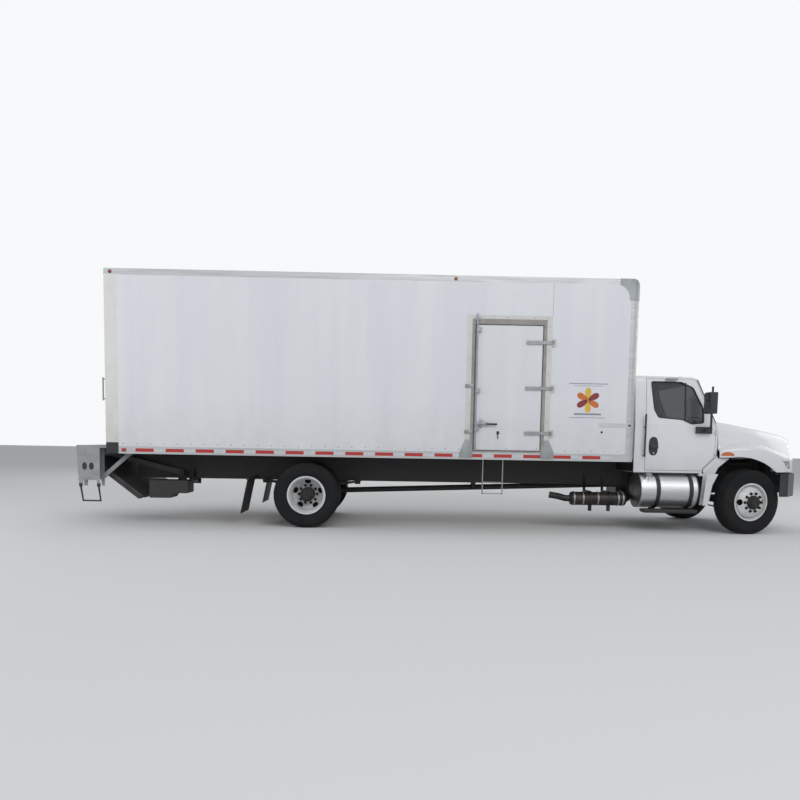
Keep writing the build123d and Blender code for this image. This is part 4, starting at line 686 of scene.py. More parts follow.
def repaint(obj, coat, wanted):
    # Gives the faces that a test picks another finish
    obj.data.materials.append(finish(coat))
    last = len(obj.data.materials) - 1
    for polygon in obj.data.polygons:
        if wanted(polygon.center):
            polygon.material_index = last


# Wheels: hand holes, nuts and hub caps. Heights are measured outwards from a wheel's middle, and the
# hand holes go by their count, first angle, and the inner and outer end of the cut.
steer = radians(12)
# Below a wheel's dark height, the inside of its disc is painted dark as painted shade
wheelLook = {
    "nuts": {"circle": 0.142875, "count": 10, "radius": 0.0185, "height": 0.013},
    "hole": {"circle": 0.204, "across": 0.050, "deep": 0.036, "sides": 28},
    "hubRadius": 0.113, "innerRadius": 0.238, "capBolts": {"circle": 0.084, "count": 8},
    "cap": ((0, 0.0), (0.074, 0.0), (0.074, 0.006), (0.070, 0.010), (0.030, 0.013), (0, 0.0135)),
    "front": {"face": 0.158, "cap": 0.040, "dark": 0.075, "holes": (2, 90, 0.062, 0.220)},
    "rear": {"face": 0.011, "cap": 0.173, "dark": -0.012, "holes": (5, 36, -0.075, 0.075)},
}
wheelSpots = [(spot, Vector(centre), Vector(outward)) for spot, centre, outward in (
    ("front_right", (4.73766, -1.08541, 0.508), (sin(steer), -cos(steer), 0)),
    ("front_left", (4.65034, 1.08541, 0.508), (-sin(steer), cos(steer), 0)),
    ("rear_right", (-2.215, -0.930, 0.508), (0, -1, 0)),
    ("rear_left", (-2.215, 0.930, 0.508), (0, 1, 0)),
)]


def handHoles(centre, outward, axle):
    # Oval plugs that widen the round hand holes of a wheel disc
    hole = wheelLook["hole"]
    count, first, low, high = wheelLook[axle]["holes"]
    across, down = frameFor(outward)
    bm = bmesh.new()
    for turn in (radians(first + 360 * index / count) for index in range(count)):
        out = down * cos(turn) + across * sin(turn)
        along = across * cos(turn) - down * sin(turn)
        middle = centre + out * hole["circle"] + outward * low
        oval = [middle + out * hole["deep"] * cos(swing) + along * hole["across"] * sin(swing)
                for swing in turns(hole["sides"])]
        addPrism(bm, oval, outward * (high - low))
    return asMesh("handHoles", bm)


def spotsRound(centre, outward, ring, height):
    # Places on a circle round an axle, all facing outwards
    across, up = frameFor(outward)
    return [(centre + (across * cos(turn) + up * sin(turn)) * ring["circle"] + outward * height, outward)
            for turn in turns(ring["count"])]


def dressWheel(spot, centre, outward):
    axle, side = spot.split("_")
    body = ("front_wheel_" if axle == "front" else "rear_wheels_") + side
    look, nuts = wheelLook[axle], wheelLook["nuts"]
    face, tall = look["face"], nuts["height"]
    soft[body] = smoothCopy(body, handHoles(centre, outward, axle))
    for name, kind, lift, radius, height in (
            ("nuts", "hex", tall, nuts["radius"], tall), ("washers", "disc", 0.002, 0.0235, 0.003),
            ("studEnds", "disc", 2 * tall + 0.006, 0.0095, 0.008)):
        studs(f"{name}.{spot}", kind, spotsRound(centre, outward, nuts, face + lift), radius, height,
              "hubIronAndShade", "wheel_white", body)

    def dark(place):
        # The black face of the hub, and the disc's inner side, whose dark finish is painted shade so the hand
        # holes read dark
        height, reach = (place - centre).dot(outward), (place - centre).cross(outward).length
        return (height > face + 0.001 and reach < wheelLook["hubRadius"]
                or height < look["dark"] and reach < wheelLook["innerRadius"])

    repaint(soft[body], "hubIronAndShade", dark)
    height = face + look["cap"]
    bm = bmesh.new()
    addTurned(bm, centre + outward * height, outward, wheelLook["cap"], 28)
    asPiece(f"hubCap.{spot}", bm, "hubIronAndShade", "wheel_white", body)
    bolts = spotsRound(centre, outward, wheelLook["capBolts"], height + 0.001)
    studs(f"capBolts.{spot}", "hex", bolts, 0.009, 0.006, "hubIronAndShade", "wheel_white", body)


for spot, centre, outward in wheelSpots:
    dressWheel(spot, centre, outward)

# Tyres: the side as (radius, distance from the middle), the ribs as (distance, slant of their blocks)
tyreLook = {
    "treadRadius": 0.5064, "baseRadius": 0.4965, "sides": 64, "blocks": 48, "gap": 0.0035,
    "ribWidth": 0.037,
    "ribs": ((-0.088, 0.0), (-0.044, 0.16), (0.0, -0.16), (0.044, 0.16), (0.088, 0.0)),
    "twins": {"inner": -0.170, "outer": 0.170},
    "side": ((0.287, 0.104), (0.310, 0.1065), (0.316, 0.1095), (0.322, 0.1095), (0.338, 0.1185),
             (0.341, 0.1215), (0.347, 0.1235), (0.350, 0.1225), (0.365, 0.1290), (0.390, 0.1350),
             (0.415, 0.1375), (0.436, 0.1368), (0.439, 0.1388), (0.447, 0.1375), (0.450, 0.1352),
             (0.468, 0.1300), (0.484, 0.1225), (0.493, 0.1140), (0.4965, 0.1060)),
}


def tyrePiece(name, centre, outward, body):
    look, side = tyreLook, tyreLook["side"]
    inner = [(radius, -along) for radius, along in reversed(side)]
    profile = [*side, (look["baseRadius"], 0.0), *inner, side[0]]
    bm = bmesh.new()
    addTurned(bm, centre, outward, profile, look["sides"])
    asPiece(name, bm, "treadRubber", "tyre_black", body, 50)
    depth = look["treadRadius"] - look["baseRadius"] + 0.003
    length = 2 * pi * look["treadRadius"] / look["blocks"] - look["gap"]
    shoulder, along = side[-2]
    rows = [(look["treadRadius"] - depth / 2, place, (depth, length, look["ribWidth"]), index * 0.06, slant)
            for index, (place, slant) in enumerate(look["ribs"])]
    rows += [(shoulder - 0.004, way * (along - 0.004), (0.013, length * 0.62, 0.012), 0.03, 0.0)
             for way in (-1, 1)]
    shared = {"Count": look["blocks"], "Centre": tuple(centre),
              "Turn": tuple(outward.to_track_quat("Z", "Y").to_euler())}
    labels = ("Radius", "Along", "Size", "Phase", "Skew")
    blocks(f"{name}.tread", "ring", [{**shared, **dict(zip(labels, row))} for row in rows], "treadRubber",
           "tyre_black", body)


for spot, centre, outward in wheelSpots:
    axle, side = spot.split("_")
    if axle == "front":
        tyrePiece(f"tyre.{spot}", centre, outward, f"front_wheel_{side}")
    else:
        for place, shift in tyreLook["twins"].items():
            tyrePiece(f"tyre.{spot}.{place}", centre + outward * shift, outward, f"rear_wheels_{side}")
for side in ("right", "left"):
    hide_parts(f"front_tyre_{side}")
    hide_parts(f"rear_tyres_{side}")
print("wheels and tyres")

# Box body: rivets along its rails and posts, reflecting tape and small lamps
boxLook = {
    "skin": 1.295, "rear": -5.255, "front": 2.855, "rivetPitch": 0.205, "rivetHeight": 1.266,
    "doorway": (0.20, 1.54), "topRivets": (3.832, 3.805), "topPitch": 0.102, "tapeHeight": 1.168,
    "tapeTall": 0.050, "red": 0.279, "silver": 0.178, "tapeFrom": -4.81, "tapeCount": 16,
}


def spaced(first, last, step):
    # Places at equal steps, from the first to before the last
    while first < last:
        yield first
        first += step


def dressBox():
    look = boxLook
    rear, front = look["rear"], look["front"]
    near, far = look["doorway"]
    upper, lower = look["topRivets"]
    foot, rail = [], []
    for side in (-1, 1):
        wall, facing = side * look["skin"], (0, side, 0)
        places = spaced(rear + 0.26, front - 0.12, look["rivetPitch"])
        foot += [((x, wall, look["rivetHeight"]), facing) for x in places if side == 1 or not near < x < far]
        for x in spaced(rear + 0.06, front - 0.36, look["topPitch"]):
            rail += [((x, wall, upper), facing), ((x + 0.05, wall, lower), facing)]
        for z in (1.35 + 0.15 * step for step in range(16)):
            rail += [((rear + 0.17, wall, z), facing), ((front - 0.135, wall, z), facing)]
    studs("rivets.foot", "dome", foot, 0.0095, 0.0045, "zincSteel", "rail_grey")
    studs("rivets.rail", "dome", rail, 0.0065, 0.003, "railMetal", "rail_grey")
    period = look["red"] + look["silver"]
    for colour, start in (("red", 0.0), ("silver", look["red"])):
        length = look[colour]
        first = look["tapeFrom"] + start + length / 2
        rows = [(look["tapeCount"], (first, side * (look["skin"] + 0.0008), look["tapeHeight"]),
                 (period, 0, 0), (length, 0.0016, look["tapeTall"])) for side in (-1, 1)]
        blockRows(f"tape.{colour}", rows, colour + "Tape", "rail_grey")
    rows = [(5, (rear - 0.0008, -0.92, 1.243), (0, period, 0), (0.0016, look["red"], 0.022))]
    blockRows("tape.sill", rows, "redTape", "post_white")


dressBox()

# Marker lamps sit on the box's sides and on one of its ends, given as place, height and way
lampLook = {
    "marker": {"amber": {"side": 0.03, "end": (2.8556, 3.835, 1), "widest": 1.05},
               "red": {"side": -5.16, "end": (-5.2556, 3.75, -1), "widest": 1.15}},
    "tail": {"red": (1.46, 1.60), "amber": (1.74,), "clear": (1.34,)},
}


def lampSet(name, spots, radius, height, lens):
    # Small lamps: a dark grommet with a domed lens in it
    studs(f"grommets.{name}", "disc", spots, radius * 1.35, 0.0035, "trimRubber", "lamp_clear")
    lifted = [(Vector(place) + Vector(facing) * 0.003, facing) for place, facing in spots]
    studs(f"lamps.{name}", "dome", lifted, radius, height, lens, "lamp_clear")


for colour, look in lampLook["marker"].items():
    end, height, way = look["end"]
    spots = [((look["side"], side * 1.296, 3.83), (0, side, 0)) for side in (-1, 1)]
    spots += [((end, y, height), (way, 0, 0)) for y in (-look["widest"], -0.16, 0, 0.16, look["widest"])]
    lampSet(f"marker.{colour}", spots, 0.020, 0.012, colour + "Lens")
for colour, heights in lampLook["tail"].items():
    spots = [((-5.2556, side * 1.248, z), (-1, 0, 0)) for side in (-1, 1) for z in heights]
    lampSet(f"tail.{colour}", spots, 0.030, 0.010, colour + "Lens")
print("box rivets, tape and lamps")

# Seats: foam pads blown up by cloth simulation, then sewn, on plain pedestals. A row has its middle and
# width across the cab and its seams in shares of the width; outlines go by (x from the rear, height).
seatLook = {
    "voxel": 0.011, "pressure": 4, "cap": 0.015, "inset": 0.012, "seamDepth": 0.011, "seamWidth": 0.007,
    "rear": 3.095, "floor": 1.005, "headHalf": 0.128,
    "rows": (("driver", 0.520, 0.500, (0.22, 0.78)),
             ("bench", -0.420, 0.900, (0.12, 0.38, 0.5, 0.62, 0.88))),
    "cushion": ((0.075, 1.302), (0.558, 1.302), (0.553, 1.398), (0.53, 1.405), (0.30, 1.392),
                (0.075, 1.392)),
    "backrest": ((0.082, 1.425), (0.162, 1.425), (0.138, 1.60), (0.062, 2.005), (-0.008, 2.005),
                 (0.03, 1.75)),
    "headrest": ((-0.008, 2.035), (0.058, 2.035), (0.048, 2.188), (-0.008, 2.188)),
    "belts": (0.775, -0.885),
}


def newPad(name, outline, low, high, bevel):
    # A closed slab from an (x, z) outline between two y values, remade as an even grid
    bm = bmesh.new()
    addPrism(bm, [(x, low, z) for x, z in outline], (0, high - low, 0), bevel)
    mesh = asMesh(name, bm, 1e-5)
    return linked(name, reshaped(mesh, "REMESH", mode="VOXEL", voxel_size=seatLook["voxel"]))


def blowUp(pads):
    # All pads swell together, then no point keeps more than the capped movement
    starts = {}
    for pad in pads:
        starts[pad] = [vert.co.copy() for vert in pad.data.vertices]
        cloth = pad.modifiers.new("foam", "CLOTH").settings
        cloth.use_pressure = True
        cloth.uniform_pressure_force = seatLook["pressure"]
        cloth.effector_weights.gravity = 0
        cloth.quality = 4
        cloth.mass = 0.4
    for step in range(1, 21):
        bpy.context.scene.frame_set(step)
    reach = seatLook["cap"]
    ready = bpy.context.evaluated_depsgraph_get()
    for pad in pads:
        swollen = bpy.data.meshes.new_from_object(pad.evaluated_get(ready))
        pad.modifiers.clear()
        for vert, start in zip(swollen.vertices, starts[pad]):
            moved = vert.co - start
            if moved.length > reach:
                vert.co = start + moved.normalized() * reach
        pad.data = swollen
    bpy.context.scene.frame_set(1)


def sewn(pad, seams):
    # Presses grooves along seam planes given as (point, normal) and rounds the pad once more
    depth, width = seatLook["seamDepth"], seatLook["seamWidth"]
    verts = pad.data.vertices
    for vert, way in zip(verts, [-vert.normal.copy() for vert in verts]):
        gaps = [abs((vert.co - Vector(place)).dot(Vector(normal))) for place, normal in seams]
        vert.co += way * (depth * max(2.718 ** (-(gap / width) ** 2) for gap in gaps))
    pad.data = changed(pad, "SUBSURF", levels=1, render_levels=1)


def seatPads():
    look, rear = seatLook, seatLook["rear"]
    pads = []
    for label, middle, width, shares in look["rows"]:
        low, high = middle - width / 2 + look["inset"], middle + width / 2 - look["inset"]
        head = (middle - look["headHalf"], middle + look["headHalf"])
        along = [((0, low + (high - low) * share, 0), (0, 1, 0)) for share in shares]
        for kind, ends, bevel, seams in (
                ("cushion", (low, high), 0.026, along + [((rear + 0.42, 0, 0), (1, 0, 0))]),
                ("backrest", (low, high), 0.024,
                 along + [((0, 0, z), (0.12, 0, 0.99)) for z in (1.62, 1.86)]),
                ("headrest", head, 0.022, [((0, 0, 2.11), (0, 0, 1))])):
            outline = [(rear + x, z) for x, z in look[kind]]
            pads.append((newPad(f"{kind}.{label}", outline, *ends, bevel), seams))
    return pads


def dressSeats():
    pads = seatPads()
    blowUp([pad for pad, seams in pads])
    for pad, seams in pads:
        sewn(pad, seams)
        pad.data.materials.clear()
        pad.data.materials.append(finish("seatCloth"))
        pad.data.shade_smooth()
        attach(pad, "chassis")
        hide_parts("seats")
    bm = bmesh.new()
    rear = seatLook["rear"]
    for label, middle, width, shares in seatLook["rows"]:
        low, high = middle - width / 2, middle + width / 2
        addBox(bm, (rear + 0.125, low + 0.065, seatLook["floor"] + 0.002),
               (rear + 0.495, high - 0.065, 1.262), 0.012)
        addBox(bm, (rear + 0.065, low + 0.012, 1.262), (rear + 0.565, high - 0.012, 1.293), 0.008)
        for y in (middle - 0.06, middle + 0.06):
            addTube(bm, ((rear + 0.024, y, 1.99), (rear + 0.022, y, 2.06)), 0.006, 10)
    pedestal = asPiece("seatPedestals", bm, "blackPlastic", "seat_fabric")
    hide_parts("seats")
    bm = bmesh.new()
    for post in seatLook["belts"]:
        corners = ((-0.02, 2.12), (0.02, 2.12), (0.02, 1.15), (-0.02, 1.15))
        addPrism(bm, [(rear - 0.104, post + y, z) for y, z in corners], (0.002, 0, 0))
        addBox(bm, (rear - 0.109, post - 0.03, 2.09), (rear - 0.092, post + 0.03, 2.17), 0.006)
        addBox(bm, (rear - 0.109, post - 0.035, 1.09), (rear - 0.085, post + 0.035, 1.17), 0.008)
    asPiece("seatBelts", bm, "flapRubber", "strap_black")


dressSeats()
print("seats")

# Cab: seals, wipers, mirrors, lamps and handles, laid on its surfaces
cabLook = {
    "rear": 2.945, "half": 1.020, "belt": 1.690, "lean": 0.1056, "seal": 0.009,
    "roofLamps": (-0.60, -0.16, 0.0, 0.16, 0.60),
    "window": ((0.253, 2.378), (0.732, 2.375), (0.919, 2.289), (1.082, 1.956), (1.087, 1.740), (0.899, 1.719),
               (0.749, 1.788), (0.370, 1.817), (0.304, 1.942)),
    "screen": ((-0.870, -0.310), (0.870, -0.310), (0.800, 0.320), (-0.800, 0.320)),
    "handle": {"x": 0.302, "z": 1.360, "half": 0.069, "tall": 0.142},
    "pillar": ((1.283, 1.735), (1.130, 2.090), (0.985, 2.420)),
}


def sign(value):
    return 1 if value >= 0 else -1


def skinOf(*names):
    # Search tree over the faces of CAD parts
    corners, faces = [], []
    for name in names:
        mesh = nodes[name].data
        first = len(corners)
        corners += [vert.co.copy() for vert in mesh.vertices]
        faces += [[first + index for index in polygon.vertices] for polygon in mesh.polygons]
    return BVHTree.FromPolygons(corners, faces)


def rounded(points, radius, steps=4):
    # Closed flat outline with its corners turned into arcs
    points = [Vector(point) for point in points]
    path = []
    for index, corner in enumerate(points):
        before, after = points[index - 1], points[(index + 1) % len(points)]
        reach = min(radius, (before - corner).length * 0.45, (after - corner).length * 0.45)
        start = corner + (before - corner).normalized() * reach
        end = corner + (after - corner).normalized() * reach
        for step in range(steps + 1):
            share = step / steps
            path.append(start * (1 - share) ** 2 + corner * 2 * share * (1 - share) + end * share ** 2)
    return path


def onSkin(skin, point, way, lift=0.0):
    # Where a ray from a point clear of the skin meets it, lifted back along the ray
    way = Vector(way).normalized()
    place = skin.ray_cast(Vector(point), way)[0]
    return (place if place else Vector(point)) - way * lift


def laidOn(bm, skin, spot, way, counts, thick, sink=0.002):
    # Thin slab whose face follows the skin under the points of a grid that spot(along, across) gives
    way = Vector(way).normalized()
    rows = []
    for row in range(counts[0] + 1):
        along = row / counts[0]
        line = []
        for column in range(counts[1] + 1):
            across = column / counts[1]
            foot = onSkin(skin, spot(along, across), way)
            line.append((bm.verts.new(foot - way * thick), bm.verts.new(foot + way * sink)))
        rows.append(line)
    for row, following in zip(rows, rows[1:]):
        for left, right in zip(range(counts[1]), range(1, counts[1] + 1)):
            bm.faces.new((row[left][0], following[left][0], following[right][0], row[right][0]))
            bm.faces.new((row[left][1], row[right][1], following[right][1], following[left][1]))
    rim = [rows[0][column] for column in range(counts[1] + 1)]
    rim += [rows[row][counts[1]] for row in range(1, counts[0] + 1)]
    rim += [rows[counts[0]][column] for column in range(counts[1] - 1, -1, -1)]
    rim += [rows[row][0] for row in range(counts[0] - 1, 0, -1)]
    for pair, following in zip(rim, rim[1:] + rim[:1]):
        bm.faces.new((pair[0], following[0], following[1], pair[1]))


def doorPoint(side, x, z, out=0.0):
    # Point on the side of the cab, which leans in above the belt
    lean = max(0, z - cabLook["belt"]) * cabLook["lean"]
    return cabLook["rear"] + x, side * (cabLook["half"] + out - lean), z


def dressCab():
    rear, half = cabLook["rear"], cabLook["half"]
    cabSkin = skinOf("cab_shell")
    for side, label in ((-1, "right"), (1, "left")):
        body = f"cab_door_{label}"
        bm = bmesh.new()
        loop = rounded([(x, 0, z) for x, z in cabLook["window"]], 0.03)
        addTube(bm, [doorPoint(side, point.x, point.z, 0.001) for point in loop], cabLook["seal"], 8, True)
        addTube(bm, [doorPoint(side, x, z, -0.004) for x, z in ((0.80, 2.37), (0.80, 1.75))], 0.011, 8)
        asPiece(f"windowSeal.{label}", bm, "trimRubber", "strap_black", body)
        handle = cabLook["handle"]
        ring = [(handle["x"] + handle["half"] * sign(cos(turn)) * abs(cos(turn)) ** 0.75,
                 handle["z"] + handle["tall"] * sign(sin(turn)) * abs(sin(turn)) ** 0.75)
                for turn in turns(36)]
        bm = bmesh.new()
        addPrism(bm, [doorPoint(side, x, z, -0.001) for x, z in ring], (0, side * 0.003, 0))
        addTube(bm, [doorPoint(side, x, z, 0.001) for x, z in ring], 0.005, 6, True)
        addBox(bm, *boxOf(doorPoint(side, 0.252, 1.322, 0.002), doorPoint(side, 0.352, 1.388, 0.030)), 0.010)
        asPiece(f"doorHandle.{label}", bm, "blackPlastic", "plastic_black", body)
        repaint(soft[f"door_{label}"], "blackPlastic", lambda place: (
            abs(place.x - rear - 0.31) < 0.07 and abs(place.z - 1.355) < 0.03
            and abs(place.y) > half + 0.0004))
        bm = bmesh.new()
        addTube(bm, [doorPoint(side, x, z) for x, z in cabLook["pillar"]], 0.0075, 6)
        addBox(bm, *boxOf((rear + 0.004, side * 0.996, 0.924), (rear + 1.082, side * 1.0225, 0.944)), 0.003)
        asPiece(f"cabTrim.{label}", bm, "trimRubber", "strap_black")
        lock = [(doorPoint(side, 0.310, 1.250, 0.004), (0, side, 0))]
        studs(f"doorLock.{label}", "disc", lock, 0.011, 0.003, "brightTrim", "zinc_steel", body)
        bm = bmesh.new()
        out = side * (half + 0.270)
        for low, high in ((1.895, 2.055), (2.075, 2.180)):
            addBox(bm, *boxOf((rear + 0.9985, out - 0.086, low), (rear + 1.0005, out + 0.086, high)), 0.0008)
        asPiece(f"mirrorGlass.{label}", bm, "mirrorGlass", "window_glass", body, smooth=0)
        bm = bmesh.new()
        for low, high in ((1.887, 2.063), (2.067, 2.188)):
            corners = ((-0.094, low), (0.094, low), (0.094, high), (-0.094, high))
            addTube(bm, rounded([(rear + 0.999, out + y, z) for y, z in corners], 0.02), 0.005, 6, True)
        asPiece(f"mirrorRims.{label}", bm, "blackPlastic", "plastic_black", body)
        bm = bmesh.new()
        cover = ((0.455, 2.402), (0.650, 2.402), (0.632, 2.440), (0.475, 2.440))
        addPrism(bm, [(rear + x, side * (half - 0.055), z) for x, z in cover], (0, side * 0.075, 0), 0.008)
        asPiece(f"lookDown.{label}", bm, "capMetal", "plastic_black", body)
    middle = Vector((rear + 1.143, 0, 2.082))
    up, away = Vector((-0.3863, 0, 0.9224)), Vector((0.9224, 0, 0.3863))
    bm = bmesh.new()
    loop = rounded([(y, z, 0) for y, z in cabLook["screen"]], 0.08)
    addTube(bm, [tuple(middle + Vector((0, point.x, 0)) + up * point.y) for point in loop], 0.013, 8, True)
    loop = rounded([(y, z, 0) for y, z in ((-0.45, -0.21), (0.45, -0.21), (0.45, 0.21), (-0.45, 0.21))], 0.06)
    addTube(bm, [(rear - 0.001, point.x, 2.010 + point.y) for point in loop], 0.010, 8, True)
    asPiece("glassSeals", bm, "trimRubber", "strap_black")
    bm = bmesh.new()
    for foot, low, high in ((0.18, 0.13, 0.62), (-0.52, -0.60, -0.10)):
        base = middle + up * -0.345 + Vector((0, foot, 0)) + away * 0.012
        elbow = middle + up * -0.26 + Vector((0, (low + high) / 2, 0)) + away * 0.020
        addTube(bm, (base, base * 0.4 + elbow * 0.6 + away * 0.012, elbow), 0.006, 8)
        addTube(bm, [middle + up * height + Vector((0, y, 0)) + away * 0.012
                     for y, height in ((low, -0.285), (high, -0.235))], 0.007, 6)
        addTurned(bm, base - away * 0.03, away,
                  ((0, 0), (0.017, 0), (0.017, 0.03), (0.012, 0.036), (0, 0.037)), 14)
    asPiece("wipers", bm, "blackPlastic", "plastic_black")
    bm = bmesh.new()
    lamps = bmesh.new()
    for y in cabLook["roofLamps"]:
        place = onSkin(cabSkin, (rear + 0.845, y, 3.0), (0, 0, -1))
        addBox(bm, (place.x - 0.045, y - 0.040, place.z - 0.004),
               (place.x + 0.045, y + 0.040, place.z + 0.010), 0.004)
        lens = ((-0.035, 0.008), (0.040, 0.008), (0.028, 0.030), (-0.025, 0.034))
        addPrism(lamps, [(place.x + x, y - 0.030, place.z + z) for x, z in lens], (0, 0.060, 0), 0.006)
    asPiece("roofLampBases", bm, "blackPlastic", "plastic_black")
    asPiece("roofLamps", lamps, "amberLens", "lamp_clear")
    repaint(soft["grab_handles"], "blackPlastic", lambda place: place.x > 0)


dressCab()
print("cab details")

# Hood: marker lamps, the line along its side, and what is behind the headlamps and the grille
hoodLook = {
    "marker": {"x": 4.380, "half": 0.092, "foot": 1.229, "tall": 0.055},
    "crease": [(4.30 + 0.075 * step, 1.529 - 0.0035 * step) for step in range(12)],
    "grille": (0.440, 1.040, 1.385),
}


def shrunk(node, amount):
    # Copy of a thin CAD part moved in along its mean outward way on each side of the truck
    bm = merged(node)
    for vert in bm.verts:
        vert.co += Vector((-0.72, -0.55 if vert.co.y > 0 else 0.55, -0.25)) * amount
    return bm


def dressHood():
    skin = skinOf("hood", "headlamps", "grille")
    for side, label in ((-1, "right"), (1, "left")):
        bm = bmesh.new()
        lamp = hoodLook["marker"]
        laidOn(bm, skin, lambda along, across: (
            lamp["x"] + lamp["half"] * (2 * along - 1), side * 1.6,
            lamp["foot"] + across * (0.004 + lamp["tall"] * sqrt(1 - (2 * along - 1) ** 2))),
            (0, -side, 0), (16, 4), 0.007)
        asPiece(f"hoodMarker.{label}", bm, "amberLens", "lamp_clear", "hood")
        bm = bmesh.new()
        addTube(bm, [onSkin(skin, (x, side * 1.6, z), (0, -side, 0), -0.0010)
                     for x, z in hoodLook["crease"]], 0.0035, 6)
        asPiece(f"hoodCrease.{label}", bm, "cabPaint", "cab_white", "hood")
    asPiece("lampHousings", shrunk("headlamps", 0.045), "blackPlastic", "plastic_black", "hood")
    bm = bmesh.new()
    for side in (-1, 1):
        inward = Vector((-0.62, -side * 0.78, 0))
        for x, z, size in ((5.300, 1.108, 0.047), (5.372, 1.098, 0.040)):
            place = onSkin(skin, (x + 0.5, side * 1.6, z), inward) + inward * 0.048
            addTurned(bm, place, -inward, (
                (0, 0), (size * 0.45, 0.003), (size * 0.8, 0.013), (size, 0.028), (size + 0.002, 0.028),
                (size * 0.8, 0.010), (0, -0.002)), 24)
    asPiece("lampBowls", bm, "brightTrim", "zinc_steel", "hood")
    half, low, high = hoodLook["grille"]
    bm = bmesh.new()
    outline = rounded([(half, low, 0), (half, high, 0), (-half, high, 0), (-half, low, 0)], 0.03)
    addTube(bm, [onSkin(skin, (6.2, point.x, point.y), (-1, 0, 0), 0.001) for point in outline],
            0.010, 8, True)
    asPiece("grilleSurround", bm, "brightTrim", "zinc_steel", "hood")
    mesh = []
    for index in range(29):
        y = -half + 0.04 + index * (2 * half - 0.08) / 28
        place = onSkin(skin, (6.2, y, low + 0.02), (-1, 0, 0))
        mesh.append((1, (place.x - 0.030, y, (low + high) / 2), (0, 0, 0), (0.004, 0.004, high - low - 0.06)))
    blockRows("grilleMesh", mesh, "grilleBlack", "grille_black", "hood")
    bm = bmesh.new()
    rows = []
    for z in (low + 0.012, high - 0.012):
        feet = [onSkin(skin, (6.2, (step / 8 - 1) * (half + 0.035), z), (-1, 0, 0)) for step in range(17)]
        rows.append([(bm.verts.new(foot - Vector((0.050, 0, 0))), bm.verts.new(foot - Vector((0.056, 0, 0))))
                     for foot in feet])
    for layer in (0, 1):
        for step in range(16):
            bm.faces.new((rows[0][step][layer], rows[0][step + 1][layer], rows[1][step + 1][layer],
                          rows[1][step][layer]))
    rim = rows[0] + rows[1][::-1]
    for here, following in zip(rim, rim[1:] + rim[:1]):
        bm.faces.new((here[0], following[0], following[1], here[1]))
    asPiece("grilleScreen", bm, "trimRubber", "grille_black", "hood")


dressHood()
print("hood details")

# Engine bay, seen with the hood tipped: covers, pipes, shroud and the parts on the cowl
bayLook = {
    "cover": (4.46, 5.14, 0.165, 1.335, 1.395), "ribs": 9, "cylinders": 6, "cowl": 4.262,
    "shroud": (5.345, 5.396, 0.300, 0.900, 1.325), "manifold": (4.52, 5.12, -0.385, 1.100, 0.038),
    "turbo": (4.70, -0.420, 1.190), "cleaner": (0.500, 1.200, 0.118, 0.42),
    "pipes": (
        ("trimRubber", 0.026, (
            (5.28, 0.12, 1.320), (5.33, 0.14, 1.366), (5.39, 0.17, 1.372), (5.434, 0.20, 1.335))),
        ("trimRubber", 0.045, (
            (4.66, 0.50, 1.20), (4.76, 0.48, 1.21), (4.83, 0.40, 1.21), (4.84, 0.29, 1.20))),
        ("zincSteel", 0.034, (
            (4.76, -0.42, 1.19), (5.00, -0.43, 1.20), (5.24, -0.40, 1.24), (5.38, -0.35, 1.25),
            (5.41, -0.35, 1.25))),
        ("rustSteel", 0.038, (
            (4.64, -0.42, 1.19), (4.52, -0.42, 1.16), (4.44, -0.41, 1.02), (4.42, -0.38, 0.74))),
        ("trimRubber", 0.011, (
            (4.30, 0.10, 1.30), (4.42, 0.20, 1.352), (4.80, 0.215, 1.350), (5.20, 0.20, 1.345))),
    ),
}


def bent(points, parts=6):
    # Points along a smooth line through the given ones
    points = [Vector(point) for point in points]
    ends = [2 * points[0] - points[1], *points, 2 * points[-1] - points[-2]]
    line = []
    for before, here, after, beyond in zip(ends, ends[1:], ends[2:], ends[3:]):
        for step in range(parts):
            share = step / parts
            line.append(0.5 * (2 * here + (after - before) * share
                               + (2 * before - 5 * here + 4 * after - beyond) * share ** 2
                               + (3 * here - before - 3 * after + beyond) * share ** 3))
    return line + [points[-1]]


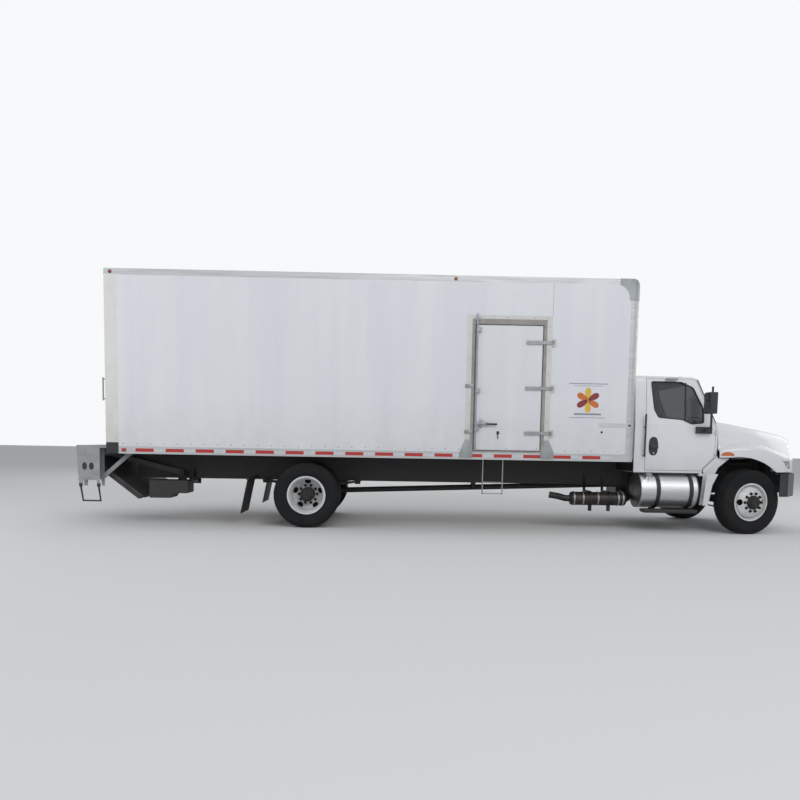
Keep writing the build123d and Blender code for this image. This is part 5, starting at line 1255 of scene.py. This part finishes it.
def dressBay():
    low, high, half, foot, top = bayLook["cover"]
    bm = bmesh.new()
    addBox(bm, (low, -half, foot), (high, half, top), 0.018)
    addBox(bm, (low - 0.022, -half - 0.022, foot), (high + 0.022, half + 0.022, foot + 0.014), 0.003)
    asPiece("valveCover", bm, "castIron", "engine_grey")
    gap = (high - low - 0.12) / (bayLook["ribs"] - 1)
    ribs = [(bayLook["ribs"], (low + 0.06, 0, top + 0.002), (gap, 0, 0), (0.012, 2 * half - 0.06, 0.012))]
    blockRows("coverRibs", ribs, "castIron", "engine_grey")
    bolts = [((low + 0.03 + step * (high - low - 0.06) / 7, side * (half + 0.011), foot + 0.018), (0, 0, 1))
             for step in range(8) for side in (-1, 1)]
    studs("coverBolts", "hex", bolts, 0.008, 0.006, "zincSteel", "zinc_steel")
    first, last, y, z, radius = bayLook["manifold"]
    bm = bmesh.new()
    addTube(bm, [(first, y, z), (last, y, z)], radius, 16)
    count = bayLook["cylinders"]
    for index in range(count):
        x = first + 0.04 + index * (last - first - 0.08) / (count - 1)
        addTube(bm, [(x, -0.322, z), (x, y, z)], 0.027, 12)
    turbo = Vector(bayLook["turbo"])
    addTurned(bm, turbo, (1, 0, 0), ((0, -0.075), (0.05, -0.075), (0.05, -0.032), (0.084, -0.026), (0.096, 0),
                                     (0.084, 0.026), (0.048, 0.032), (0.048, 0.075), (0, 0.075)), 28)
    asPiece("exhaustManifold", bm, "rustSteel", "engine_grey")
    for index, (coat, radius, path) in enumerate(bayLook["pipes"]):
        bm = bmesh.new()
        addTube(bm, bent(path), radius, 14)
        asPiece(f"bayPipe.{index}", bm, coat, "engine_grey")
    bm = bmesh.new()
    for index in range(count):
        x = low + 0.07 + index * (high - low - 0.14) / (count - 1)
        path = ((x, 0.160, 1.365), (x, 0.205, 1.378), (x + 0.012, 0.250, 1.335), (x + 0.016, 0.292, 1.262))
        addTube(bm, bent(path, 4), 0.006, 8)
    asPiece("injectorLines", bm, "zincSteel", "zinc_steel")
    near, far, half, foot, top = bayLook["shroud"]
    bm = bmesh.new()
    addBox(bm, (near, -half, top - 0.05), (far, half, top), 0.006)
    addBox(bm, (near, -half, foot), (far, half, foot + 0.05), 0.006)
    for side in (-1, 1):
        addBox(bm, (near, side * half - 0.03, foot), (far, side * half + 0.03, top), 0.006)
    middle = Vector(((near + far) / 2, 0, (foot + top) / 2))
    for turn in turns(7):
        out = Vector((0, cos(turn), sin(turn)))
        around = Vector((0.012, -sin(turn) * 0.05, cos(turn) * 0.05))
        root, tip = middle + out * 0.03, middle + out * 0.19
        addPrism(bm, (root - around, tip - around, tip + around, root + around), (0.004, 0, 0))
    addTurned(bm, middle, (1, 0, 0), ((0, -0.02), (0.05, -0.02), (0.05, 0.02), (0, 0.02)), 20)
    asPiece("fanShroud", bm, "blackPlastic", "engine_grey")
    y, z, radius, length = bayLook["cleaner"]
    cowl = bayLook["cowl"]
    bm = bmesh.new()
    addTurned(bm, (cowl, y, z), (1, 0, 0), (
        (0, 0), (radius - 0.02, 0), (radius, 0.02), (radius, length - 0.09), (radius + 0.006, length - 0.085),
        (radius + 0.006, length - 0.06), (radius - 0.02, length - 0.02), (0.05, length), (0, length)), 36)
    asPiece("airCleaner", bm, "blackPlastic", "engine_grey")
    bm = bmesh.new()
    addBox(bm, (cowl, -0.26, 1.405), (cowl + 0.125, 0.02, 1.515), 0.022)
    addTurned(bm, (cowl + 0.06, -0.20, 1.51), (0, 0, 1), ((0, 0), (0.028, 0), (0.028, 0.024), (0, 0.026)), 20)
    asPiece("coolantTank", bm, "palePlastic", "plastic_black")
    bm = bmesh.new()
    addBox(bm, (cowl, -0.60, 1.150), (cowl + 0.15, -0.47, 1.250), 0.012)
    for x in (cowl + 0.04, cowl + 0.10):
        addTurned(bm, (x, -0.535, 1.245), (0, 0, 1), ((0, 0), (0.024, 0), (0.024, 0.018), (0, 0.020)), 16)
    asPiece("brakeReservoir", bm, "stepGrey", "engine_grey")


dressBay()
print("engine bay details")

# Front bumper: fog lamps, tow hooks, a blank plate and the dark edge along its top
bumperLook = {
    "ray": 6.4, "fog": (0.62, 0.70), "hook": 0.385,
    "fogRim": ((0, -0.012), (0.062, -0.012), (0.062, 0.006), (0.052, 0.008), (0.048, 0.0), (0, 0.0)),
    "fogLens": ((0, 0.0015), (0.046, 0.0015), (0.040, 0.005), (0, 0.008)),
}


def dressBumper():
    skin = skinOf("front_bumper")
    ray, (across, height) = bumperLook["ray"], bumperLook["fog"]
    rims, lenses = bmesh.new(), bmesh.new()
    for side in (-1, 1):
        place = onSkin(skin, (ray, side * across, height), (-1, 0, 0))
        addTurned(rims, place, (1, 0, 0), bumperLook["fogRim"], 28)
        addTurned(lenses, place, (1, 0, 0), bumperLook["fogLens"], 28)
    asPiece("fogRims", rims, "blackPlastic", "plastic_black")
    asPiece("fogLenses", lenses, "clearLens", "lamp_clear")
    bm = bmesh.new()
    for side in (-1, 1):
        y = side * bumperLook["hook"]
        place = onSkin(skin, (ray, y, 0.655), (-1, 0, 0))
        addBox(bm, (place.x - 0.01, y - 0.022, 0.628), (place.x + 0.003, y + 0.022, 0.690), 0.003)
        path = ((-0.006, 0.672), (0.004, 0.676), (0.004, 0.640), (-0.006, 0.636))
        addTube(bm, [(place.x + x, y, z) for x, z in path], 0.009, 8)
    asPiece("towHooks", bm, "rustSteel", "chassis_black")
    bm = bmesh.new()
    place = onSkin(skin, (ray, 0, 0.75), (-1, 0, 0))
    addBox(bm, (place.x - 0.002, -0.153, 0.686), (place.x + 0.0008, 0.153, 0.838), 0.0004)
    asPiece("blankPlate", bm, "clearLens", "zinc_steel", smooth=0)
    bolts = [((place.x, side * 0.0889, 0.780), (1, 0, 0)) for side in (-1, 1)]
    studs("plateBolts", "hex", bolts, 0.0075, 0.0025, "zincSteel", "zinc_steel")
    bm = bmesh.new()
    ys = [-1.05 + 0.07 * step for step in range(31)]
    addTube(bm, [onSkin(skin, (ray, y, 0.958), (-1, 0, 0), -0.002) for y in ys], 0.006, 6)
    asPiece("bumperEdge", bm, "bumperPlastic", "bumper_grey")


dressBumper()
print("bumper details")

# Side of the box: strips of painted shade as the door's reveal, gussets and keepers, the seam, a blank strip
# and a plain decal
sideLook = {
    "door": (0.355, 1.382, 1.255, 3.155), "face": -1.301, "wall": -1.295, "seam": (1.520, 3.305, 3.783),
    "gussets": (
        ((0.225, 1.420), (0.298, 1.420), (0.342, 1.300), (0.342, 1.130), (0.139, 1.130), (0.139, 1.200)),
        ((1.440, 1.420), (1.512, 1.420), (1.597, 1.240), (1.597, 1.130), (1.396, 1.130), (1.396, 1.300))),
    "strip": ((2.278, 1.634), (2.712, 1.702)), "decal": (2.100, 2.045), "petal": 0.098,
    "stripes": ((0.245, 0.60, 0.012), (0.215, 0.44, 0.007), (-0.225, 0.42, 0.026), (-0.270, 0.56, 0.008)),
}


def petal(turn, size):
    # Outline of one petal, pointing away from the middle of the decal
    path = []
    for swing in turns(24):
        along = size * (1 + 0.94 * cos(swing))
        across = size * 0.40 * sin(swing) * (1.15 + 0.35 * cos(swing))
        path.append((along * cos(turn) - across * sin(turn), along * sin(turn) + across * cos(turn)))
    return path


def dressDecal():
    middle, height = sideLook["decal"]
    wall = sideLook["wall"]
    for index, colour in enumerate(("decalYellow", "decalOrange", "decalMaroon")):
        bm = bmesh.new()
        for turn in (radians(90 + 60 * index), radians(270 + 60 * index)):
            outline = [(middle + x, wall + 0.0002, height + z) for x, z in petal(turn, sideLook["petal"])]
            addPrism(bm, outline, (0, -0.0009, 0))
        asPiece(f"decal.{colour}", bm, colour, slotOf["wall_right"], smooth=0)
    bm = bmesh.new()
    for lift, wide, tall in sideLook["stripes"]:
        addBox(bm, (middle - wide / 2, wall - 0.0007, height + lift),
               (middle + wide / 2, wall + 0.0003, height + lift + tall))
    asPiece("decalStripes", bm, "decalGrey", slotOf["wall_right"], smooth=0)


def dressSide():
    rear, front, low, high = sideLook["door"]
    face, wall = sideLook["face"], sideLook["wall"]
    grey = slotOf["side_door_frame"]
    bm = bmesh.new()
    # Flat dark strips round the side door: painted shade of a recessed frame
    for x0, x1, z0, z1 in ((rear - 0.058, rear - 0.010, low - 0.028, high + 0.088),
                           (front + 0.010, front + 0.056, low - 0.028, high + 0.088),
                           (rear - 0.010, front + 0.010, high + 0.010, high + 0.088),
                           (rear - 0.010, front + 0.010, low - 0.028, low - 0.011)):
        addBox(bm, (x0, face - 0.0014, z0), (x1, face + 0.001, z1))
    asPiece("doorRevealShade", bm, "reveal", grey, smooth=0)
    bm = bmesh.new()
    for outline in sideLook["gussets"]:
        addPrism(bm, [(x, face - 0.0035, z) for x, z in outline], (0, wall - face + 0.003, 0), 0.0012)
    asPiece("gussets", bm, "capMetal", grey)
    bm = bmesh.new()
    for z in (1.533, 2.230):
        addBox(bm, (rear - 0.148, face - 0.008, z - 0.030), (rear - 0.020, face, z + 0.030), 0.003)
        addTube(bm, [(rear - 0.118, face - 0.010, z + lift) for lift in (-0.026, 0.026)], 0.010, 10)
    addBox(bm, (rear - 0.022, face - 0.010, high + 0.055), (rear + 0.062, face, high + 0.115), 0.003)
    asPiece("jambKeepers", bm, "zincSteel", grey)
    screws = [((x, face, high + 0.115), (0, -1, 0)) for x in (0.62, 0.83, 1.04, 1.25, 1.45)]
    screws += [((rear - 0.085, face, 1.62 + 0.34 * step), (0, -1, 0)) for step in range(5)]
    screws += [((front + 0.095, face, 1.70 + 0.36 * step), (0, -1, 0)) for step in range(5)]
    screws += [((x, face - 0.0035, z), (0, -1, 0)) for x, z in (
        (0.255, 1.385), (0.185, 1.165), (0.305, 1.165), (1.478, 1.385), (1.435, 1.165), (1.552, 1.165))]
    studs("frameScrews", "dome", screws, 0.008, 0.004, "zincSteel", grey)
    body = bodyOf["side_door_hardware"]
    bm = bmesh.new()
    addTube(bm, ((rear + 0.190, -1.337, 1.654), (rear + 0.352, -1.337, 1.654)), 0.0135, 14)
    addBox(bm, (rear + 0.352, -1.302, 1.500), (rear + 0.392, -1.2925, 1.548), 0.003)
    addBox(bm, (rear + 0.365, -1.299, 1.432), (rear + 0.379, -1.2925, 1.500), 0.002)
    asPiece("latchGrip", bm, "flapRubber", slotOf["side_door_hardware"], body)
    bm = bmesh.new()
    addBox(bm, (rear + 0.088, -1.318, 1.600), (rear + 0.134, -1.2922, 1.724), 0.010)
    asPiece("latchPlate", bm, "zincSteel", slotOf["side_door_hardware"], body)
    bolts = [((x, -1.316, z), (0, -1, 0)) for z in (1.525, 2.210, 2.900) for x in (1.16, 1.23, 1.30, 1.36)]
    bolts += [((x, -1.292, 1.285), (0, -1, 0)) for x in (0.40, 0.86, 1.33)]
    studs("strapBolts", "hex", bolts, 0.008, 0.003, "zincSteel", slotOf["side_door_hardware"], body)
    bm = bmesh.new()
    edge = ((rear + 0.004, low + 0.004), (front - 0.004, low + 0.004), (front - 0.004, high - 0.004),
            (rear + 0.004, high - 0.004))
    addTube(bm, [(x, -1.2915, z) for x, z in edge], 0.0045, 6, True)
    asPiece("doorEdge", bm, "sealant", slotOf["side_door"], body)
    bm = bmesh.new()
    x, foot, head = sideLook["seam"]
    addBox(bm, (x - 0.0022, wall - 0.0008, foot), (x + 0.0022, wall + 0.0003, head))
    asPiece("panelSeam", bm, "sealant", slotOf["wall_right"], smooth=0)
    bm = bmesh.new()
    (x0, z0), (x1, z1) = sideLook["strip"]
    addBox(bm, (x0, wall - 0.003, z0), (x1, wall + 0.0003, z1), 0.001)
    asPiece("blankStrip", bm, "silverTape", slotOf["wall_right"], smooth=0)
    bolts = [((x, wall, z), (0, -1, 0)) for x, z in ((2.758, 1.670), (2.330, 1.560))]
    studs("wallBolts", "dome", bolts, 0.019, 0.008, "trimRubber", slotOf["wall_right"])
    bm = bmesh.new()
    for side in (-1, 1):
        addBox(bm, *boxOf((-5.020, side * 1.2952, 1.143), (-4.955, side * 1.304, 1.193)), 0.003)
    asPiece("rearMarkers", bm, "redLens", "lamp_clear")
    dressDecal()


dressSide()
print("side door and decal")

# Tail: roll-up door, lift gate steps, their loops, dark discs of painted shade in the steps' holes, and the
# posts' dark feet
tailLook = {
    "end": -5.765, "box": -5.255, "inner": 0.970, "outer": 1.160, "loopRadius": 0.0145,
    "holes": (-5.645, -5.540), "holeHeight": 0.905, "panel": 0.4255,
    "loop": ((0.055, 0.592), (0.090, 0.369), (0.360, 0.369), (0.330, 0.592)),
}


def dressTail():
    end, box, inner, outer = (tailLook[key] for key in ("end", "box", "inner", "outer"))
    middle, panel = tailLook["holeHeight"], tailLook["panel"]
    repaint(soft["rear_frame"], "framePaint", lambda place: place.z < 1.275 and place.x < -5.06)
    repaint(soft["lift_frame"], "stepGrey", lambda place: place.z > 0.600)
    bm = bmesh.new()
    holes = bmesh.new()
    treads = []
    for side in (-1, 1):
        y = side * (outer - 0.005)
        addTube(bm, [(end + x, y, z) for x, z in tailLook["loop"]], tailLook["loopRadius"], 12)
        for x in (end + 0.055, end + 0.330):
            addBox(bm, *boxOf((x - 0.024, side * (outer + 0.004), 0.586),
                              (x + 0.026, side * (outer - 0.016), 0.640)), 0.003)
        # Thin dark discs on the steps' outer panels: painted shade standing for their holes
        for x in tailLook["holes"]:
            ring = [(x + 0.036 * cos(turn), side * (outer - 0.001), middle + 0.058 * sin(turn))
                    for turn in turns(28)]
            addPrism(holes, ring, (0, side * 0.0022, 0))
        treads += [(5, (end + 0.026 + 0.026 * step, side * (inner + 0.024), z + 0.002), (0, side * 0.035, 0),
                    (0.016, 0.022, 0.004)) for z in (0.710, 0.960) for step in range(9)]
    asPiece("stepLoops", bm, "framePaint", slotOf["lift_frame"])
    asPiece("stepHoleShades", holes, "trimRubber", slotOf["lift_frame"], smooth=0)
    blockRows("stepTreads", treads, "zincSteel", slotOf["lift_frame"])
    deck = [(17, (end + 0.150 + 0.040 * step, -1.120 + (0.035 if step % 2 else 0), 1.2285), (0, 0.137, 0),
             (0.022, 0.070, 0.003)) for step in range(9)]
    blockRows("plateTreads", deck, "zincSteel", slotOf["lift_frame"])
    bm = bmesh.new()
    for side in (-1, 1):
        addBox(bm, *boxOf((box - 0.0025, side * 1.210, 1.262), (box + 0.001, side * 1.216, 3.560)), 0)
        addTube(bm, [(box - 0.004, side * 1.205, z) for z in (1.262, 3.560)], 0.006, 8)
    addTube(bm, ((box - 0.004, -1.205, 3.640), (box - 0.004, 1.205, 3.640)), 0.006, 8)
    addBox(bm, (-5.199, -1.195, 1.2585), (-5.176, 1.195, 1.290), 0.003)
    asPiece("rearSeals", bm, "trimRubber", slotOf["rear_frame"])
    hinges = [(5, (-5.1965, -1.10, 1.257 + row * panel), (0, 0.55, 0), (0.006, 0.075, 0.085))
              for row in range(1, 6)]
    blockRows("curtainHinges", hinges, "zincSteel", slotOf["rollup_door"])
    pins = [((-5.1985, -1.10 + 0.55 * column + shift, 1.257 + row * panel + lift), (-1, 0, 0))
            for row in range(1, 6) for column in range(5)
            for shift in (-0.024, 0.024) for lift in (-0.028, 0.028)]
    studs("hingeRivets", "dome", pins, 0.0055, 0.003, "railMetal", slotOf["rollup_door"])
    bm = bmesh.new()
    addBox(bm, (-5.232, -0.070, 1.452), (-5.224, 0.070, 1.488), 0.003)
    addTube(bm, ((-5.226, -0.052, 1.462), (-5.250, -0.045, 1.470), (-5.250, 0.045, 1.470),
                 (-5.226, 0.052, 1.462)), 0.006, 10)
    addTube(bm, ((-5.205, 0.0, 1.412), (-5.214, 0.0, 1.30)), 0.009, 8)
    asPiece("curtainHandle", bm, "zincSteel", slotOf["rollup_door"])
    rivets = [((box, side * 1.248, 1.32 + 0.16 * step), (-1, 0, 0)) for side in (-1, 1) for step in range(15)
              if not 1.28 < 1.32 + 0.16 * step < 1.80]
    rivets += [((box, y * 0.24, 3.690), (-1, 0, 0)) for y in range(-4, 5)]
    studs("rearRivets", "dome", rivets, 0.007, 0.0035, "railMetal", slotOf["rear_frame"])


dressTail()
print("tail")

# Underneath: frame bolts, spring clamps, fittings of the tank and canister, flap bolts, a dark sheet of
# painted shade on the cab's back, and the cab's corner pieces. Tank and canister go by their two ends, the
# place across, height and radius.
underLook = {
    "web": 0.430, "boltStep": 0.235, "rows": (0.752, 0.915), "springY": 0.475,
    "springs": ((4.694, 0.565, 0.405), (-2.215, 0.670, 0.432)),
    "tank": (3.035, 3.955, -0.870, 0.655, 0.280), "canister": (2.005, 2.905, -0.800, 0.495, 0.108),
}


def addBand(bm, x, y, z, inner, outer, width, sides):
    # A flat hoop round a part that lies along the truck
    addTurned(bm, (x, y, z), (1, 0, 0),
              ((inner, 0), (outer, 0), (outer, width), (inner, width), (inner, 0)), sides)


def dressUnder():
    web = underLook["web"]
    bolts = [((x, side * web, z), (0, side, 0)) for side in (-1, 1)
             for x in spaced(-4.98, 5.4, underLook["boltStep"]) for z in underLook["rows"]]
    studs("frameBolts", "hex", bolts, 0.012, 0.006, "castIron", slotOf["chassis_frame"])
    bm = bmesh.new()
    for x, top, foot in underLook["springs"]:
        for side in (-1, 1):
            middle = side * underLook["springY"]
            for shift in (-0.062, 0.062):
                path = [(x + shift, middle + y, z) for y, z in (
                    (-0.046, foot), (-0.046, top + 0.006), (-0.030, top + 0.014), (0.030, top + 0.014),
                    (0.046, top + 0.006), (0.046, foot))]
                addTube(bm, path, 0.009, 8)
            addBox(bm, (x - 0.085, middle - 0.058, foot - 0.004), (x + 0.085, middle + 0.058, foot + 0.012),
                   0.003)
    asPiece("springClamps", bm, "castIron", slotOf["leaf_springs"])
    rear, front, y, z, radius = underLook["tank"]
    # The tank's rear end cap gets a darker metal: painted shade and a painted dark reflection of the
    # underbody
    repaint(soft["fuel_tank"], "tankEndShadeAndSeams", lambda place: place.x < rear + 0.010)
    bm = bmesh.new()
    way, neck = Vector((0, -0.287, 0.958)), Vector((rear + 0.134, y - 0.220, z + 0.250))
    addTurned(bm, neck, way, ((0, -0.004), (0.051, -0.004), (0.051, 0.016), (0.044, 0.022), (0, 0.024)), 24)
    ribs = bmesh.new()
    across, other = frameFor(way)
    for turn in turns(12):
        foot = neck + (across * cos(turn) + other * sin(turn)) * 0.0505
        addTube(ribs, (foot, foot + way * 0.016), 0.004, 6)
    asPiece("fuelCap", bm, "zincSteel", slotOf["fuel_tank"])
    asPiece("fuelCapRibs", ribs, "zincSteel", slotOf["fuel_tank"])
    bm = bmesh.new()
    for x in (rear + 0.004, front - 0.004):
        addBand(bm, x - 0.003, y, z, radius - 0.010, radius + 0.002, 0.006, 48)
    asPiece("tankSeams", bm, "tankEndShadeAndSeams", slotOf["fuel_tank"])
    bm = bmesh.new()
    addBox(bm, (rear + 0.045, y - 0.318, 0.328), (front - 0.025, y - 0.112, 0.368), 0.006)
    asPiece("tankStep", bm, "framePaint", slotOf["tank_mounts"])
    treads = [(16, (rear + 0.085, y - 0.300 + 0.036 * step, 0.3695), (0.052, 0, 0), (0.030, 0.014, 0.004))
              for step in range(6)]
    blockRows("tankStepTreads", treads, "castIron", slotOf["tank_mounts"])
    rear, front, y, z, radius = underLook["canister"]
    bm = bmesh.new()
    for x in (rear + 0.055, rear + 0.200, rear + 0.440, front - 0.130, front - 0.055):
        addBand(bm, x - 0.011, y, z, radius - 0.004, radius + 0.0035, 0.022, 40)
        addTube(bm, ((x, y - 0.050, z + radius + 0.004), (x, y - 0.012, z + radius + 0.010)), 0.006, 8)
    asPiece("canisterBands", bm, "zincSteel", slotOf["exhaust_canister"])
    bm = bmesh.new()
    path = [(rear + 0.020, y, z), (rear - 0.080, y, z), (rear - 0.190, y + 0.020, z + 0.030),
            (rear - 0.330, y + 0.045, z + 0.050)]
    addTube(bm, path, 0.052, 20)
    path = [(front - 0.020, y, z), (front + 0.030, y + 0.02, z), (front + 0.075, y + 0.10, z + 0.01),
            (front + 0.095, y + 0.24, z + 0.05), (front + 0.095, y + 0.42, z + 0.12)]
    addTube(bm, path, 0.045, 20)
    asPiece("exhaustPipes", bm, "rustSteel", slotOf["exhaust_canister"])
    flaps = [((-3.122, side * (0.72 + 0.115 * step), 0.722), (-1, 0, 0)) for side in (-1, 1)
             for step in range(5)]
    studs("flapBolts", "hex", flaps, 0.011, 0.004, "zincSteel", slotOf["mud_flaps"])
    # A thin dark sheet on the cab's lower back: painted shade under the box
    bm = bmesh.new()
    addBox(bm, (2.9395, -1.005, 0.952), (2.9445, 1.005, 1.150), 0.001)
    asPiece("cabBackShade", bm, "flapRubber", "strap_black", smooth=0)
    bm = bmesh.new()
    for side in (-1, 1):
        outline = ((4.052, 0.956), (4.052, 1.008), (4.266, 1.219), (4.270, 1.180), (4.158, 1.028))
        addPrism(bm, [(x, side * 1.024, z) for x, z in outline], (0, side * 0.022, 0), 0.001)
    asPiece("cowlClosers", bm, "cabPaint", slotOf["splash_panels"], smooth=0)


dressUnder()
print("underneath")

# Cargo space and dashboard: wall ribs, roof bows, floor seams, gauges and vents
insideLook = {
    "wall": 1.250, "roof": 3.835, "floor": 1.257, "rear": -5.10, "ribs": 13, "step": 0.610,
    "gauges": (0.41, 0.495, 0.60, 0.685), "vents": (-0.66, -0.10, 0.14, 0.80),
    "glovebox": ((-0.58, 1.36), (-0.22, 1.36), (-0.22, 1.47), (-0.58, 1.47)),
}


def dressInside():
    look = insideLook
    first = look["rear"] + 0.25
    rows = [(look["ribs"], (first, side * (look["wall"] - 0.0035), 2.53), (look["step"], 0, 0),
             (0.045, 0.007, 2.44)) for side in (-1, 1)]
    blockRows("wallRibs", rows, "bodySheet", slotOf["wall_left"])
    bows = [(look["ribs"], (first, 0, look["roof"] - 0.0035), (look["step"], 0, 0), (0.050, 2.46, 0.007))]
    blockRows("roofBows", bows, "railMetal", slotOf["box_roof"])
    seams = [(15, (-1.18, -1.05, look["floor"] + 0.0003), (0, 0.15, 0), (7.86, 0.004, 0.0012))]
    blockRows("floorSeams", seams, "trimRubber", slotOf["box_floor"])
    skin = skinOf("dashboard")
    facing = Vector((-0.61, 0, 0.79))
    places = [onSkin(skin, (cabLook["rear"] + 0.93, y, 1.80), -facing) for y in look["gauges"]]
    rims = [(place, facing) for place in places]
    dials = [(place + facing * 0.004, facing) for place in places]
    studs("gauges", "disc", rims, 0.036, 0.003, "brightTrim", "dash_grey")
    studs("gaugeFaces", "disc", dials, 0.032, 0.002, "trimRubber", "dash_grey")
    bm = bmesh.new()
    start = cabLook["rear"] + 0.80
    for middle in look["vents"]:
        for z in (1.505 + 0.014 * step for step in range(5)):
            x = onSkin(skin, (start, middle, z), (1, 0, 0)).x
            addBox(bm, (x - 0.006, middle - 0.060, z - 0.003), (x + 0.004, middle + 0.060, z + 0.003), 0.001)
    addTube(bm, [onSkin(skin, (start, y, z), (1, 0, 0)) for y, z in look["glovebox"]], 0.0025, 6, True)
    asPiece("dashVents", bm, "blackPlastic", "dash_grey")


dressInside()
print("cargo space and dashboard")
